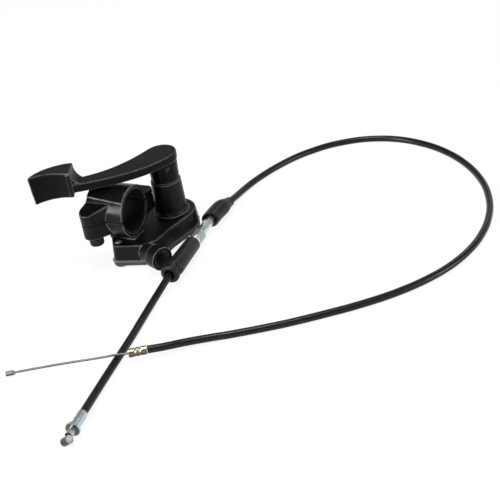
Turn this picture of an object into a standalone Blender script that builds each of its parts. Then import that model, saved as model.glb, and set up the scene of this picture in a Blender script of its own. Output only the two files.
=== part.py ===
"""A thumb throttle lever for a handlebar, with its cable lying unhooked beside it.

The origin is where the lever's turning axis meets the table. X runs along the handlebar,
Z is the turning axis, and -Y points to the rider's side of the housing. Lengths are in metres.
"""

import math

import bmesh
import bpy
from mathutils import Matrix, Vector, geometry

MM = 0.001

# Clearances
GAP = 0.3 * MM
TURNING_GAP = 0.4 * MM
TABLE_GAP = 0.02 * MM

# Handlebar clamp
BAR_DIAMETER = 22.2 * MM
BAR_TO_PIVOT = 27.7 * MM
BAR_RISE = 14.7 * MM
CLAMP_WALL = 2.3 * MM
CLAMP_WIDTH = 21.6 * MM
CLAMP_FRONT_X = -4.4 * MM
CLAMP_SPLIT = 0.6 * MM
BORE_CHAMFER = 0.7 * MM
CREST_PAD = 0.5 * MM
CREST_HALF_ANGLE = 46.0
CREST_BACK_ANGLE = 38.0
FRONT_EAR_REACH = 15.5 * MM
FRONT_EAR_RADIUS = 4.9 * MM
FRONT_EAR_FROM_BACK = 4.2 * MM
FRONT_EAR_UPPER = 7.4 * MM
FRONT_EAR_LOWER = 8.1 * MM
FRONT_EAR_SLOPE = 0.25
FRONT_EAR_ROOT = 17.8 * MM
FRONT_BOLT_ASIDE = 1.1 * MM
REAR_EAR_REACH = 20.5 * MM
REAR_EAR_UPPER = 3.6 * MM
REAR_EAR_LOWER = 8.6 * MM
REAR_BOLT_REACH = 15.7 * MM
REAR_BOLT_FROM_FRONT = 10.1 * MM
REAR_BOLT_SEAT = 1.2 * MM
CLAMP_FOOT_WIDTH = 15.0 * MM
CLAMP_FOOT_DEPTH = 9.6 * MM

# Clamp bolts
BOLT_DIAMETER = 5.0 * MM
BOLT_HEAD_DIAMETER = 7.4 * MM
FRONT_BOLT_HEAD_HEIGHT = 4.1 * MM
REAR_BOLT_HEAD_DIAMETER = 6.6 * MM
REAR_BOLT_HEAD_HEIGHT = 2.4 * MM
BOLT_SOCKET = 4.0 * MM
BOLT_SOCKET_DEPTH = 2.0 * MM

# Housing
FOOT_HEIGHT = 1.4 * MM
COVER_THICKNESS = 2.7 * MM
HOUSING_HEIGHT = 8.8 * MM
TOP_THICKNESS = 2.0 * MM
WALL_THICKNESS = 1.9 * MM
HOUSING_DRAFT = 0.9 * MM
TOP_EDGE_ROUND = 0.8 * MM

# Lever column and what turns in it
COLUMN_HEIGHT = 19.0 * MM
COLUMN_FOOT_RADIUS = 8.7 * MM
COLUMN_TOP_RADIUS = 8.15 * MM
COLUMN_RING_RADIUS = 9.8 * MM
COLUMN_RING_HEIGHT = 0.8 * MM
SHAFT_DIAMETER = 6.0 * MM
SHAFT_IN_LEVER = 10.3 * MM
SHAFT_THREAD_DIAMETER = 4.8 * MM
SHAFT_FLATS = 4.8 * MM
BUSH_WALL = 0.9 * MM
UPPER_BUSH_LENGTH = 7.0 * MM
LOWER_BUSH_LENGTH = 5.0 * MM
SPRING_WIRE = 1.0 * MM
SPRING_RADIUS = 5.7 * MM
SPRING_TURNS = 2.5
SPRING_PITCH = 1.35 * MM
SPRING_ROOM_HEIGHT = 4.4 * MM
SPRING_TANG = 2.6 * MM

# Cable pull arm inside the housing
ARM_RADIUS = 28.5 * MM
ARM_REST_ANGLE = -88.0
ARM_THICKNESS = 2.6 * MM
ARM_HUB_RADIUS = 6.2 * MM
ARM_END_RADIUS = 3.5 * MM
ARM_NUT_ACROSS = 8.0 * MM
ARM_NUT_HEIGHT = 2.0 * MM
LEVER_TRAVEL = 34.0
STOP_POST_RADIUS = 1.5 * MM
STOP_POST_REACH = 16.0 * MM

# Cable port
PORT_ANGLE = -22.0
PORT_FACE_X = 14.5 * MM
PORT_FACE_Y = -39.6 * MM
PORT_AXIS_HEIGHT = 8.4 * MM
PORT_DIAMETER = 12.6 * MM
PORT_LENGTH = 6.2 * MM
PORT_NECK_INSET = 1.4 * MM
PORT_NECK_LENGTH = 7.2 * MM
PORT_THREAD_DIAMETER = 7.6 * MM
PORT_THREAD_DEPTH = 9.0 * MM
PORT_WIRE_HOLE = 4.4 * MM
PORT_RIM = 0.6 * MM

# Bottom cover screws
SCREW_PLACES = ((-12.8 * MM, -36.4 * MM), (5.8 * MM, 8.6 * MM), (-19.5 * MM, -7.5 * MM))
SCREW_DIAMETER = 3.0 * MM
SCREW_HEAD_DIAMETER = 5.6 * MM
SCREW_HEAD_HEIGHT = 1.6 * MM
SCREW_SOCKET = 2.2 * MM
SCREW_POST_RADIUS = 2.9 * MM
COVER_FOOT_RADIUS = 4.3 * MM

# Thumb lever
LEVER_BOSS_HEIGHT = 16.0 * MM
LEVER_BOSS_RADIUS = 8.4 * MM
LEVER_BOSS_FOOT_RADIUS = 7.5 * MM
BLADE_THICKNESS = 4.8 * MM
BLADE_BEND = Vector((-6.2, -23.4)) * MM
BLADE_END = Vector((-31.0, -39.0)) * MM
NECK_HALF_WIDTH = 3.9 * MM
BLADE_EDGE = 0.7 * MM
PIN_DIAMETER = 2.0 * MM
PIN_ANGLE = -38.0
PIN_HEIGHT = 7.9 * MM

# Thumb paddle, with its corner next to the neck
PADDLE_CORNER = Vector((-29.8, -42.5)) * MM
PADDLE_TURN = 204.6
PADDLE_WIDTH = 20.4 * MM
PADDLE_DEPTH = 12.8 * MM
PADDLE_HOLLOW = 2.5 * MM
PADDLE_BACK_POWER = 1.3
PADDLE_RISE = 6.6 * MM
PADDLE_HEIGHT = 15.7 * MM
PADDLE_END = 1.0 * MM
PADDLE_TILT = 1.7 * MM
PADDLE_DRAFT = 0.9 * MM
PADDLE_RIB = 1.1 * MM
PADDLE_FILLET = 4.4 * MM

# Cable fittings, by their distance along the straight line through boots and adjuster
LINE_START = Vector((22.05, -47.8, 5.03)) * MM
LINE_END = Vector((18.9, 4.9, 4.55)) * MM
SHEATH_DIAMETER = 3.7 * MM
COLLAR_RADIUS = 5.0 * MM
COLLAR_LENGTH = 3.4 * MM
BOOT_RADIUS = 4.15 * MM
BOOT_NECK_RADIUS = 3.6 * MM
BOOT_LENGTH = 30.8 * MM
BOOT_WALL = 1.1 * MM
BOOT_HOLE = 5.2 * MM
THREAD_DIAMETER = 3.5 * MM
FLANGE_RADIUS = 3.3 * MM
FLANGE_LENGTH = 2.2 * MM
LOCK_NUT_ACROSS = 6.3 * MM
LOCK_NUT_LENGTH = 5.0 * MM
ADJUSTER_ACROSS = 4.6 * MM
ADJUSTER_LENGTH = 21.8 * MM
ADJUSTER_TAIL = 12.0 * MM
THREAD_ENGAGED = 6.0 * MM
WIRE_DIAMETER = 1.15 * MM
UPPER_BOOT_RADIUS = 4.45 * MM
UPPER_BOOT_INSIDE = 3.5 * MM
UPPER_BOOT_END_RADIUS = 2.7 * MM

# Ends of the cable
SLEEVE_RADIUS = 2.2 * MM
SLEEVE_LENGTH = 9.6 * MM
SLEEVE_FLANGE_RADIUS = 3.25 * MM
SLEEVE_FLANGE_LENGTH = 1.2 * MM
STUB_RADIUS = 1.75 * MM
STUB_LENGTH = 3.9 * MM
BARREL_RADIUS = 1.9 * MM
BARREL_LENGTH = 4.3 * MM
BARREL_TILT = 37.0
FERRULE_RADIUS = 2.1 * MM
FERRULE_LENGTH = 8.3 * MM
FERRULE_GROOVE = 0.3 * MM
NIPPLE_RADIUS = 1.2 * MM
NIPPLE_LENGTH = 3.2 * MM
NIPPLE_CONE = 1.3 * MM

# Worked out from the sizes above
BAR_RADIUS = BAR_DIAMETER / 2
CLAMP_RADIUS = BAR_RADIUS + CLAMP_WALL
CLAMP_BACK_X = CLAMP_FRONT_X - CLAMP_WIDTH
BAR_Y = -BAR_TO_PIVOT
COVER_TOP = FOOT_HEIGHT + COVER_THICKNESS
BODY_BOTTOM = COVER_TOP + GAP
TOP_Z = BODY_BOTTOM + HOUSING_HEIGHT
CEILING = TOP_Z - TOP_THICKNESS
BAR_Z = TOP_Z + BAR_RISE
COLUMN_TOP = TOP_Z + COLUMN_HEIGHT
LEVER_BOTTOM = COLUMN_TOP + TURNING_GAP
LEVER_TOP = LEVER_BOTTOM + LEVER_BOSS_HEIGHT
BLADE_BOTTOM = LEVER_TOP - BLADE_THICKNESS
PADDLE_TOP = LEVER_TOP + PADDLE_RISE
SHAFT_RADIUS = SHAFT_DIAMETER / 2
SHAFT_FOOT = COVER_TOP + GAP
NUT_LOW = SHAFT_FOOT + GAP
ARM_LOW = NUT_LOW + ARM_NUT_HEIGHT + GAP
ARM_HIGH = ARM_LOW + ARM_THICKNESS
BUSH_INSIDE = SHAFT_RADIUS + GAP
BUSH_OUTSIDE = BUSH_INSIDE + BUSH_WALL
SPRING_ROOM_TOP = CEILING + SPRING_ROOM_HEIGHT
SPRING_LOW = ARM_HIGH + GAP + SPRING_WIRE / 2
FRONT_EAR_X = CLAMP_BACK_X + FRONT_EAR_FROM_BACK
FRONT_EAR_Y = BAR_Y - FRONT_EAR_REACH
FRONT_BOLT_X = FRONT_EAR_X + FRONT_BOLT_ASIDE
FRONT_BOLT_Y = FRONT_EAR_Y
REAR_BOLT_X = CLAMP_FRONT_X - REAR_BOLT_FROM_FRONT
REAR_BOLT_Y = BAR_Y + REAR_BOLT_REACH
BOLT_RADIUS = BOLT_DIAMETER / 2
BOLT_HOLE = BOLT_RADIUS + GAP
FRONT_HOLE_TOP = BAR_Z + FRONT_EAR_UPPER - 2 * MM
PORT_RADIUS = PORT_DIAMETER / 2
PORT_BORE = PORT_THREAD_DIAMETER / 2
PORT_Z = PORT_AXIS_HEIGHT
SHEATH_RADIUS = SHEATH_DIAMETER / 2
WIRE_RADIUS = WIRE_DIAMETER / 2
LINE = (LINE_END - LINE_START).normalized()
SPLINE_STEP = 11.0 * MM

# The housing's plan: each corner of its top edge, and how far that corner is rounded
SMALLEST_ROUND = 0.3 * MM
HOUSING_CORNERS = [
    (Vector((-13.2, -41.0)) * MM, 2.4 * MM),
    (Vector((1.6, -37.0)) * MM, 0.8 * MM),
    (Vector((7.0, -30.6)) * MM, 3.0 * MM),
    (Vector((8.7, -18.0)) * MM, 14.0 * MM),
    (Vector((12.9, -1.5)) * MM, 8.0 * MM),
    (Vector((12.9, 13.2)) * MM, 12.6 * MM),
    (Vector((-10.0, 13.2)) * MM, 9.0 * MM),
    (Vector((-25.4, -4.0)) * MM, 10.0 * MM),
    (Vector((-21.0, -29.8)) * MM, 4.0 * MM),
]

# The route of each free stretch of sheath and wire, chosen by eye from the picture
LOWER_ROUTE = (
    (21.2, -33.6, 4.9),
    (21.7, -41.0, 4.95),
    (22.1, -48.5, 4.8),
    (22.5, -58.7, 3.6),
    (23.0, -69.1, 2.5),
    (24.2, -81.1, 1.95),
    (25.8, -93.2, 1.87),
    (27.1, -104.6, 1.87),
    (28.3, -116.1, 1.87),
    (29.5, -126.8, 1.9),
    (31.0, -137.9, 2.2),
    (32.7, -148.7, 2.75),
)
UPPER_ROUTE = (
    (18.4, 14.2, 4.45),
    (18.8, 18.6, 4.4),
    (19.4, 22.6, 4.25),
    (20.0, 27.0, 3.9),
    (20.5, 32.0, 3.35),
    (20.8, 37.5, 2.75),
    (21.1, 43.3, 2.25),
    (22.2, 51.4, 1.95),
    (24.4, 60.5, 1.87),
    (27.9, 70.8, 1.87),
    (32.3, 80.8, 1.87),
    (37.6, 90.4, 1.87),
    (43.9, 98.6, 1.87),
    (50.6, 105.8, 1.87),
    (58.1, 111.4, 1.87),
    (66.5, 116.2, 1.87),
    (75.5, 119.2, 1.87),
    (85.0, 120.7, 1.87),
    (94.5, 120.3, 1.87),
    (104.5, 118.0, 1.87),
    (115.1, 113.8, 1.87),
    (126.3, 106.8, 1.87),
    (136.5, 97.8, 1.87),
    (145.9, 86.4, 1.87),
    (154.2, 72.0, 1.87),
    (160.0, 55.4, 1.87),
    (162.4, 40.4, 1.87),
    (162.6, 28.8, 1.87),
    (161.2, 16.2, 1.87),
    (157.8, 3.5, 1.87),
    (152.9, -8.0, 1.87),
    (146.7, -18.3, 1.87),
    (139.7, -27.6, 1.87),
    (131.4, -36.7, 1.87),
    (122.1, -45.3, 1.87),
    (112.6, -53.1, 1.87),
    (93.4, -67.5, 1.87),
    (73.6, -80.2, 1.9),
    (63.6, -86.3, 2.2),
    (54.1, -93.4, 3.1),
    (47.2, -99.8, 4.2),
    (40.6, -104.7, 4.85),
)
WIRE_ROUTE = (
    (33.9, -109.1, 4.9),
    (27.8, -111.9, 4.8),
    (20.5, -115.2, 4.1),
    (7.9, -120.4, 3.0),
    (-4.9, -126.4, 2.1),
    (-14.7, -131.6, 1.6),
)
UPPER_BOOT_ROUTE = (
    (18.9, 4.9, 4.55),
    (18.65, 9.5, 4.5),
    (18.6, 14.2, 4.5),
    (18.9, 18.6, 4.47),
    (19.3, 22.0, 4.35),
    (19.7, 24.8, 4.1),
    (20.0, 27.0, 3.9),
    (20.3, 29.0, 3.65),
)


def in_metres(points):
    """The same points, from millimetres."""
    return [Vector(point) * MM for point in points]


def turned_by(x, y, degrees):
    """A plan point turned about the lever's axis."""
    angle = math.radians(degrees)
    return Vector((x * math.cos(angle) - y * math.sin(angle), x * math.sin(angle) + y * math.cos(angle)))


def circle(centre, radius, count):
    """Points of a circle in plan."""
    turns = (2 * math.pi * i / count for i in range(count))
    return [Vector((centre[0] + radius * math.cos(a), centre[1] + radius * math.sin(a))) for a in turns]


def rounded(corners, steps=6):
    """A closed outline through corners, each given as a point and its rounding radius."""
    points = []
    for i, (corner, radius) in enumerate(corners):
        corner = Vector(corner)
        before = (Vector(corners[i - 1][0]) - corner).normalized()
        after = (Vector(corners[(i + 1) % len(corners)][0]) - corner).normalized()
        half = before.angle(after) / 2
        centre = corner + (before + after).normalized() * (radius / math.sin(half))
        start = corner + before * (radius / math.tan(half)) - centre
        sweep = start.angle_signed(corner + after * (radius / math.tan(half)) - centre)
        for step in range(steps + 1):
            turn = Matrix.Rotation(-sweep * step / steps, 2)
            points.append(centre + turn @ start)
    return points


def grown(corners, distance):
    """The corners of an outline moved outwards, their rounding grown to match."""
    moved = []
    for i, (corner, radius) in enumerate(corners):
        before = (corners[i - 1][0] - corner).normalized()
        after = (corners[(i + 1) % len(corners)][0] - corner).normalized()
        outward = -1 if before.cross(after) < 0 else 1
        inward = (before + after).normalized() / math.sin(before.angle(after) / 2)
        rounding = max(radius - distance * outward, SMALLEST_ROUND)
        moved.append((corner + inward * distance * outward, rounding))
    return moved


def hull(points):
    """The outline of the smallest convex plate that covers some plan points."""
    return [points[i] for i in geometry.convex_hull_2d(points)]


def collection_named(name):
    collection = bpy.data.collections.new(name)
    bpy.context.scene.collection.children.link(collection)
    return collection


def material(name, colour, roughness, metallic=0.0):
    """A plain finish for one sub-part."""
    made = bpy.data.materials.new(name)
    made.use_nodes = True
    shader = made.node_tree.nodes["Principled BSDF"]
    shader.inputs["Base Color"].default_value = (*colour, 1.0)
    shader.inputs["Roughness"].default_value = roughness
    shader.inputs["Metallic"].default_value = metallic
    return made


def black_paint(name):
    return material(name, (0.016, 0.017, 0.018), 0.38)


def rubber(name):
    return material(name, (0.018, 0.018, 0.018), 0.7)


def steel(name):
    return material(name, (0.55, 0.56, 0.57), 0.35, 1.0)


def zinc(name):
    return material(name, (0.66, 0.70, 0.74), 0.32, 1.0)


def sheath_black(name):
    return material(name, (0.014, 0.014, 0.014), 0.45)


def shade(mesh):
    mesh.shade_smooth()
    mesh.set_sharp_from_angle(angle=math.radians(32))


def made_from(name, bm):
    """A new object from a bmesh, linked nowhere yet."""
    bmesh.ops.recalc_face_normals(bm, faces=bm.faces)
    mesh = bpy.data.meshes.new(name)
    bm.to_mesh(mesh)
    bm.free()
    shade(mesh)
    return bpy.data.objects.new(name, mesh)


def plate(name, outline, low, high, top_round=0.0, foot_round=0.0):
    """A solid over a flat outline between two heights, with its edges rounded if asked."""
    bm = bmesh.new()
    face = bm.faces.new([bm.verts.new((*point, low)) for point in outline])
    raised = bmesh.ops.extrude_face_region(bm, geom=[face])["geom"]
    top = [item for item in raised if isinstance(item, bmesh.types.BMVert)]
    bmesh.ops.translate(bm, verts=top, vec=(0, 0, high - low))
    for level, amount in ((high, top_round), (low, foot_round)):
        if amount:
            edges = [edge for edge in bm.edges if all(abs(v.co.z - level) < 1e-7 for v in edge.verts)]
            bmesh.ops.bevel(bm, geom=edges, offset=amount, segments=2, profile=0.5, affect="EDGES")
    return made_from(name, bm)


def layered(name, levels):
    """A solid through outlines of as many points each, from pairs of an outline and its height."""
    bm = bmesh.new()
    rings = [[bm.verts.new((*point, height)) for point in outline] for outline, height in levels]
    for low, high in zip(rings, rings[1:]):
        for i, vert in enumerate(low):
            bm.faces.new((low[i - 1], vert, high[i], high[i - 1]))
    bmesh.ops.triangulate(bm, faces=bm.faces)
    bm.faces.new(rings[0][::-1])
    bm.faces.new(rings[-1])
    return made_from(name, bm)


def housing_solid(name, levels):
    """A solid over the housing's plan, from pairs of how far it is grown and at what height."""
    return layered(name, [(rounded(grown(HOUSING_CORNERS, growth)), height) for growth, height in levels])


def prism(name, outline, place, depth):
    """A solid over a flat outline, drawn in a matrix's own X and Y and going along its Z."""
    bm = bmesh.new()
    face = bm.faces.new([bm.verts.new((*point, 0)) for point in outline])
    raised = bmesh.ops.extrude_face_region(bm, geom=[face])["geom"]
    verts = [item for item in raised if isinstance(item, bmesh.types.BMVert)]
    bmesh.ops.translate(bm, verts=verts, vec=(0, 0, depth))
    bmesh.ops.transform(bm, matrix=place, verts=bm.verts)
    return made_from(name, bm)


def rod(name, start, end, radius, end_radius=None, segments=32):
    """A cylinder or cone between two points."""
    start, end = Vector(start), Vector(end)
    along = end - start
    place = Matrix.Translation((start + end) / 2) @ along.to_track_quat("Z", "Y").to_matrix().to_4x4()
    bm = bmesh.new()
    bmesh.ops.create_cone(
        bm, cap_ends=True, segments=segments, radius1=radius,
        radius2=radius if end_radius is None else end_radius, depth=along.length, matrix=place,
    )
    return made_from(name, bm)


def block(name, low, high):
    """A box between two corners."""
    low, high = Vector(low), Vector(high)
    bm = bmesh.new()
    place = Matrix.Translation((low + high) / 2) @ Matrix.Diagonal((*(high - low), 1.0))
    bmesh.ops.create_cube(bm, size=1.0, matrix=place)
    return made_from(name, bm)


def turned(name, profile, location=(0, 0, 0), direction=(0, 0, 1), steps=32, closed=False):
    """A profile of radius and height turned about its own axis."""
    bm = bmesh.new()
    verts = [bm.verts.new((radius, 0, height)) for radius, height in profile]
    for first, second in zip(verts, verts[1:]):
        bm.edges.new((first, second))
    if closed:
        bm.edges.new((verts[-1], verts[0]))
    mesh = bpy.data.meshes.new(name)
    bm.to_mesh(mesh)
    bm.free()
    obj = bpy.data.objects.new(name, mesh)
    screw = obj.modifiers.new("turn", "SCREW")
    screw.steps = steps
    screw.render_steps = steps
    screw.use_merge_vertices = True
    screw.merge_threshold = 1e-6
    obj.location = location
    obj.rotation_euler = Vector(direction).to_track_quat("Z", "Y").to_euler()
    return obj


def smooth_path(points, step):
    """Points every step or so along a smooth curve through the given ones."""
    path = []
    for i in range(len(points) - 1):
        ends = [points[max(i - 1, 0)], points[i], points[i + 1], points[min(i + 2, len(points) - 1)]]
        pieces = max(1, round((ends[2] - ends[1]).length / step))
        for piece in range(pieces):
            t = piece / pieces
            weights = (-t**3 + 2 * t**2 - t, 3 * t**3 - 5 * t**2 + 2, -3 * t**3 + 4 * t**2 + t, t**3 - t**2)
            path.append(sum((end * weight / 2 for end, weight in zip(ends, weights)), Vector((0, 0, 0))))
    return path + [points[-1]]


def tube(name, points, radius, resolution=2, radii=None):
    """A round tube with closed ends along some points, as a curve object."""
    curve = bpy.data.curves.new(name, "CURVE")
    curve.dimensions = "3D"
    spline = curve.splines.new("POLY")
    spline.points.add(len(points) - 1)
    for i, point in enumerate(points):
        spline.points[i].co = (*point, 1.0)
        spline.points[i].radius = radii[i] if radii else 1.0
    curve.bevel_depth = radius
    curve.bevel_resolution = resolution
    curve.use_fill_caps = True
    return bpy.data.objects.new(name, curve)


def as_mesh(obj):
    """A curve object made a closed mesh object of the same name."""
    bpy.context.scene.collection.objects.link(obj)
    bpy.context.view_layer.update()
    graph = bpy.context.evaluated_depsgraph_get()
    mesh = bpy.data.meshes.new_from_object(obj.evaluated_get(graph))
    bm = bmesh.new()
    bm.from_mesh(mesh)
    bmesh.ops.remove_doubles(bm, verts=bm.verts, dist=1e-7)
    name, place = obj.name, obj.matrix_world.copy()
    bpy.data.objects.remove(obj)
    bpy.data.meshes.remove(mesh)
    made = made_from(name, bm)
    made.matrix_world = place
    return made


def boolean(target, other, operation):
    """Joins another shape to a solid, or cuts it away. The other shape becomes a hidden helper."""
    if not other.users_collection:
        HELPERS.objects.link(other)
    other.hide_render = True
    other.display_type = "WIRE"
    modifier = target.modifiers.new(other.name, "BOOLEAN")
    modifier.operation = operation
    modifier.solver = "EXACT"
    modifier.object = other


def join(target, *others):
    for other in others:
        boolean(target, other, "UNION")


def cut(target, *others):
    for other in others:
        boolean(target, other, "DIFFERENCE")


def keep(obj, finish):
    """Puts a finished sub-part in the part's collection with its material."""
    obj.data.materials.clear()
    obj.data.materials.append(finish)
    PART.objects.link(obj)
    return obj


def port_point(along, height=PORT_Z):
    """A point on the cable port's axis, by its distance out from the port's face."""
    angle = math.radians(PORT_ANGLE)
    return Vector((PORT_FACE_X + along * math.cos(angle), PORT_FACE_Y + along * math.sin(angle), height))


def bar_bore(name):
    """What the handlebar takes out of both clamp halves, with a chamfer at each rim."""
    outside = MM
    half = CLAMP_WIDTH / 2
    flare = BAR_RADIUS + BORE_CHAMFER + outside
    profile = (
        (0, half + outside), (flare, half + outside), (BAR_RADIUS, half - BORE_CHAMFER),
        (BAR_RADIUS, BORE_CHAMFER - half), (flare, -half - outside), (0, -half - outside),
    )
    middle = (CLAMP_FRONT_X - half, BAR_Y, BAR_Z)
    return turned(name, profile, middle, (1, 0, 0), steps=56)


def front_ear(name, low, high, slope=0.0):
    """The clamp ear on the rider's side: a tongue round its bolt, whose top may slope up to the barrel."""
    tip = circle((FRONT_EAR_X, FRONT_EAR_Y), FRONT_EAR_RADIUS, 28)
    root_y = BAR_Y - BAR_RADIUS * 0.55
    root = [Vector((CLAMP_BACK_X + GAP, root_y)), Vector((CLAMP_BACK_X + FRONT_EAR_ROOT, root_y))]
    ear = plate(name, hull(tip + root), low, high, top_round=0.5 * MM, foot_round=0.5 * MM)
    for vert in ear.data.vertices:
        if vert.co.z > high - MM:
            vert.co.z += slope * (vert.co.y - FRONT_EAR_Y)
    return ear


def rear_ear(name, low, high):
    """The wide clamp ear on the column's side."""
    inner_y = BAR_Y + BAR_RADIUS * 0.6
    outer_y = BAR_Y + REAR_EAR_REACH
    slant_x = CLAMP_BACK_X + CLAMP_WIDTH * 0.22
    back_x = CLAMP_BACK_X + GAP
    corners = (
        ((CLAMP_FRONT_X + MM, inner_y), 0.3 * MM), ((CLAMP_FRONT_X + MM, outer_y - 1.8 * MM), 0.5 * MM),
        ((CLAMP_FRONT_X - 1.8 * MM, outer_y), 0.8 * MM), ((slant_x, outer_y), 3.0 * MM),
        ((back_x, outer_y - 6.0 * MM), 2.0 * MM), ((back_x, inner_y), 0.3 * MM),
    )
    return plate(name, rounded(corners, steps=4), low, high, top_round=0.4 * MM, foot_round=0.4 * MM)


def clamp_section(half_angle, side, pad):
    """The clamp's round outside seen along the handlebar, with a raised pad over its crest."""
    stretches = ((-20, 90 - half_angle, 13, 0), (90 - half_angle, 90 + half_angle, 17, pad),
                 (90 + half_angle, 200, 13, 0))
    points = []
    for first, last, count, extra in stretches:
        for step in range(0 if pad or not points else 1, count):
            angle = math.radians(first + (last - first) * step / (count - 1))
            points.append(Vector((math.cos(angle), side * math.sin(angle))) * (CLAMP_RADIUS + extra))
    return points if side > 0 else points[::-1]


def clamp_half(name, side, pad, front, rear):
    """One clamp half with its ears. Side is 1 above the split and -1 below it."""
    back_angle = CREST_BACK_ANGLE if pad else CREST_HALF_ANGLE
    half = layered(name, [(clamp_section(back_angle, side, pad), CLAMP_BACK_X),
                          (clamp_section(CREST_HALF_ANGLE, side, pad), CLAMP_FRONT_X + MM)])
    half.data.transform(Matrix(((0, 0, 1, 0), (1, 0, 0, BAR_Y), (0, 1, 0, BAR_Z), (0, 0, 0, 1))))
    join(half, front, rear)
    reach = 2 * CLAMP_RADIUS
    x_low, x_high = CLAMP_BACK_X - reach, CLAMP_FRONT_X + reach
    y_low, y_high = BAR_Y - reach, BAR_Y + reach
    levels = sorted((BAR_Z + side * CLAMP_SPLIT / 2, BAR_Z - side * reach))
    cut(half, block(name + "_split", (x_low, y_low, levels[0]), (x_high, y_high, levels[1])))
    low = (CLAMP_FRONT_X, y_low, BAR_Z - reach)
    cut(half, block(name + "_front", low, (x_high, y_high, BAR_Z + reach)))
    return half


def bolt_hole(name, x, y, low, high, radius=BOLT_HOLE):
    return rod(name, (x, y, low), (x, y, high), radius, segments=28)


def body_casting():
    """The one casting of housing, column, lower clamp half and cable port."""
    levels = [(HOUSING_DRAFT, BODY_BOTTOM - GAP)]
    for step in range(4):
        angle = math.pi / 2 * step / 3
        inset = TOP_EDGE_ROUND * (math.cos(angle) - 1)
        levels.append((inset, TOP_Z - TOP_EDGE_ROUND * (1 - math.sin(angle))))
    body = housing_solid("body_casting", levels)
    ear_low = BAR_Z - FRONT_EAR_LOWER
    front = front_ear("lower_front_ear", ear_low, BAR_Z + MM)
    rear = rear_ear("lower_rear_ear", BAR_Z - REAR_EAR_LOWER, BAR_Z + MM)
    lower = clamp_half("lower_clamp_half", -1, 0, front, rear)
    foot_x = CLAMP_FRONT_X - GAP
    foot_y = BAR_Y + CLAMP_FOOT_DEPTH / 2
    foot = block("clamp_foot", (foot_x - CLAMP_FOOT_WIDTH, foot_y - CLAMP_FOOT_DEPTH, TOP_Z - 0.6 * MM),
                 (foot_x, foot_y, BAR_Z - BAR_RADIUS + MM))
    column = turned("column", column_profile(), (0, 0, 0), steps=56)
    port_root = -PORT_LENGTH - PORT_NECK_LENGTH
    port_boss = rod("port_boss", port_point(-PORT_LENGTH), port_point(0), PORT_RADIUS, segments=40)
    port_neck = rod("port_neck", port_point(port_root), port_point(MM - PORT_LENGTH),
                    PORT_RADIUS - PORT_NECK_INSET, segments=40)
    join(body, lower, foot, column, port_neck, port_boss)
    around = HOUSING_DRAFT + GAP
    cut(body, housing_solid("room_for_cover", [(around, -MM), (around, BODY_BOTTOM)]))
    cut(body, housing_solid("inside", [(-WALL_THICKNESS, BODY_BOTTOM - MM), (-WALL_THICKNESS, CEILING)]))
    for i, (x, y) in enumerate(SCREW_PLACES):
        join(body, rod(f"screw_post_{i + 1}", (x, y, BODY_BOTTOM + GAP), (x, y, CEILING + MM),
                       SCREW_POST_RADIUS, segments=24))
    stop_aside = arm_half_width(STOP_POST_REACH) + STOP_POST_RADIUS + GAP
    for name, turn, aside in (("rest_stop", ARM_REST_ANGLE, stop_aside),
                              ("full_stop", ARM_REST_ANGLE - LEVER_TRAVEL, -stop_aside)):
        place = turned_by(STOP_POST_REACH, aside, turn)
        join(body, rod(name, (*place, ARM_LOW), (*place, CEILING + MM), STOP_POST_RADIUS, segments=16))
    cut(body, bar_bore("bore_of_body"))
    cut(body, turned("column_bore", column_bore_profile(), steps=40))
    tang_z = SPRING_ROOM_TOP + SPRING_TANG + GAP
    tang = turned_by(SPRING_RADIUS, 0, SPRING_TURNS * 360)
    cut(body, rod("spring_tang_hole", (*tang, CEILING), (*tang, tang_z), SPRING_WIRE / 2 + GAP, segments=12))
    cut(body, rod("port_thread", port_point(-PORT_THREAD_DEPTH), port_point(MM), PORT_BORE, segments=36))
    cut(body, rod("port_rim", port_point(-2 * PORT_RIM), port_point(PORT_RIM), PORT_BORE - PORT_RIM,
                  PORT_BORE + 2 * PORT_RIM, 36))
    wire_end = port_root - 2 * WALL_THICKNESS
    cut(body, rod("port_wire_hole", port_point(wire_end), port_point(MM - PORT_THREAD_DEPTH),
                  PORT_WIRE_HOLE / 2, segments=20))
    for i, (x, y) in enumerate(SCREW_PLACES):
        top = TOP_Z + MM if i == 0 else CEILING + MM / 2
        cut(body, bolt_hole(f"screw_hole_{i + 1}", x, y, BODY_BOTTOM - MM, top, SCREW_DIAMETER / 2 + GAP))
    cut(body, bolt_hole("front_hole_low", FRONT_BOLT_X, FRONT_BOLT_Y, ear_low - MM, BAR_Z))
    cut(body, bolt_hole("rear_hole_low", REAR_BOLT_X, REAR_BOLT_Y, BAR_Z - REAR_EAR_LOWER - MM, BAR_Z))
    return keep(body, black_paint("body_paint"))


def column_profile():
    """The tapered column with the low ring at its foot, from its top down."""
    edge = 0.4 * MM
    ring_top = TOP_Z + COLUMN_RING_HEIGHT
    return (
        (0, COLUMN_TOP), (COLUMN_TOP_RADIUS - edge, COLUMN_TOP), (COLUMN_TOP_RADIUS, COLUMN_TOP - edge),
        (COLUMN_FOOT_RADIUS, ring_top + 3 * edge), (COLUMN_FOOT_RADIUS + edge, ring_top),
        (COLUMN_RING_RADIUS, TOP_Z - GAP), (COLUMN_RING_RADIUS - MM, CEILING + MM), (0, CEILING + MM),
    )


def column_bore_profile():
    """Room for the bushes and, at the foot, for the return spring."""
    bush_bore = BUSH_OUTSIDE + GAP
    spring_room = SPRING_RADIUS + SPRING_WIRE / 2 + GAP
    return (
        (0, COLUMN_TOP + MM), (bush_bore, COLUMN_TOP + MM), (bush_bore, SPRING_ROOM_TOP),
        (spring_room, SPRING_ROOM_TOP), (spring_room, CEILING - MM), (0, CEILING - MM),
    )


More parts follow.
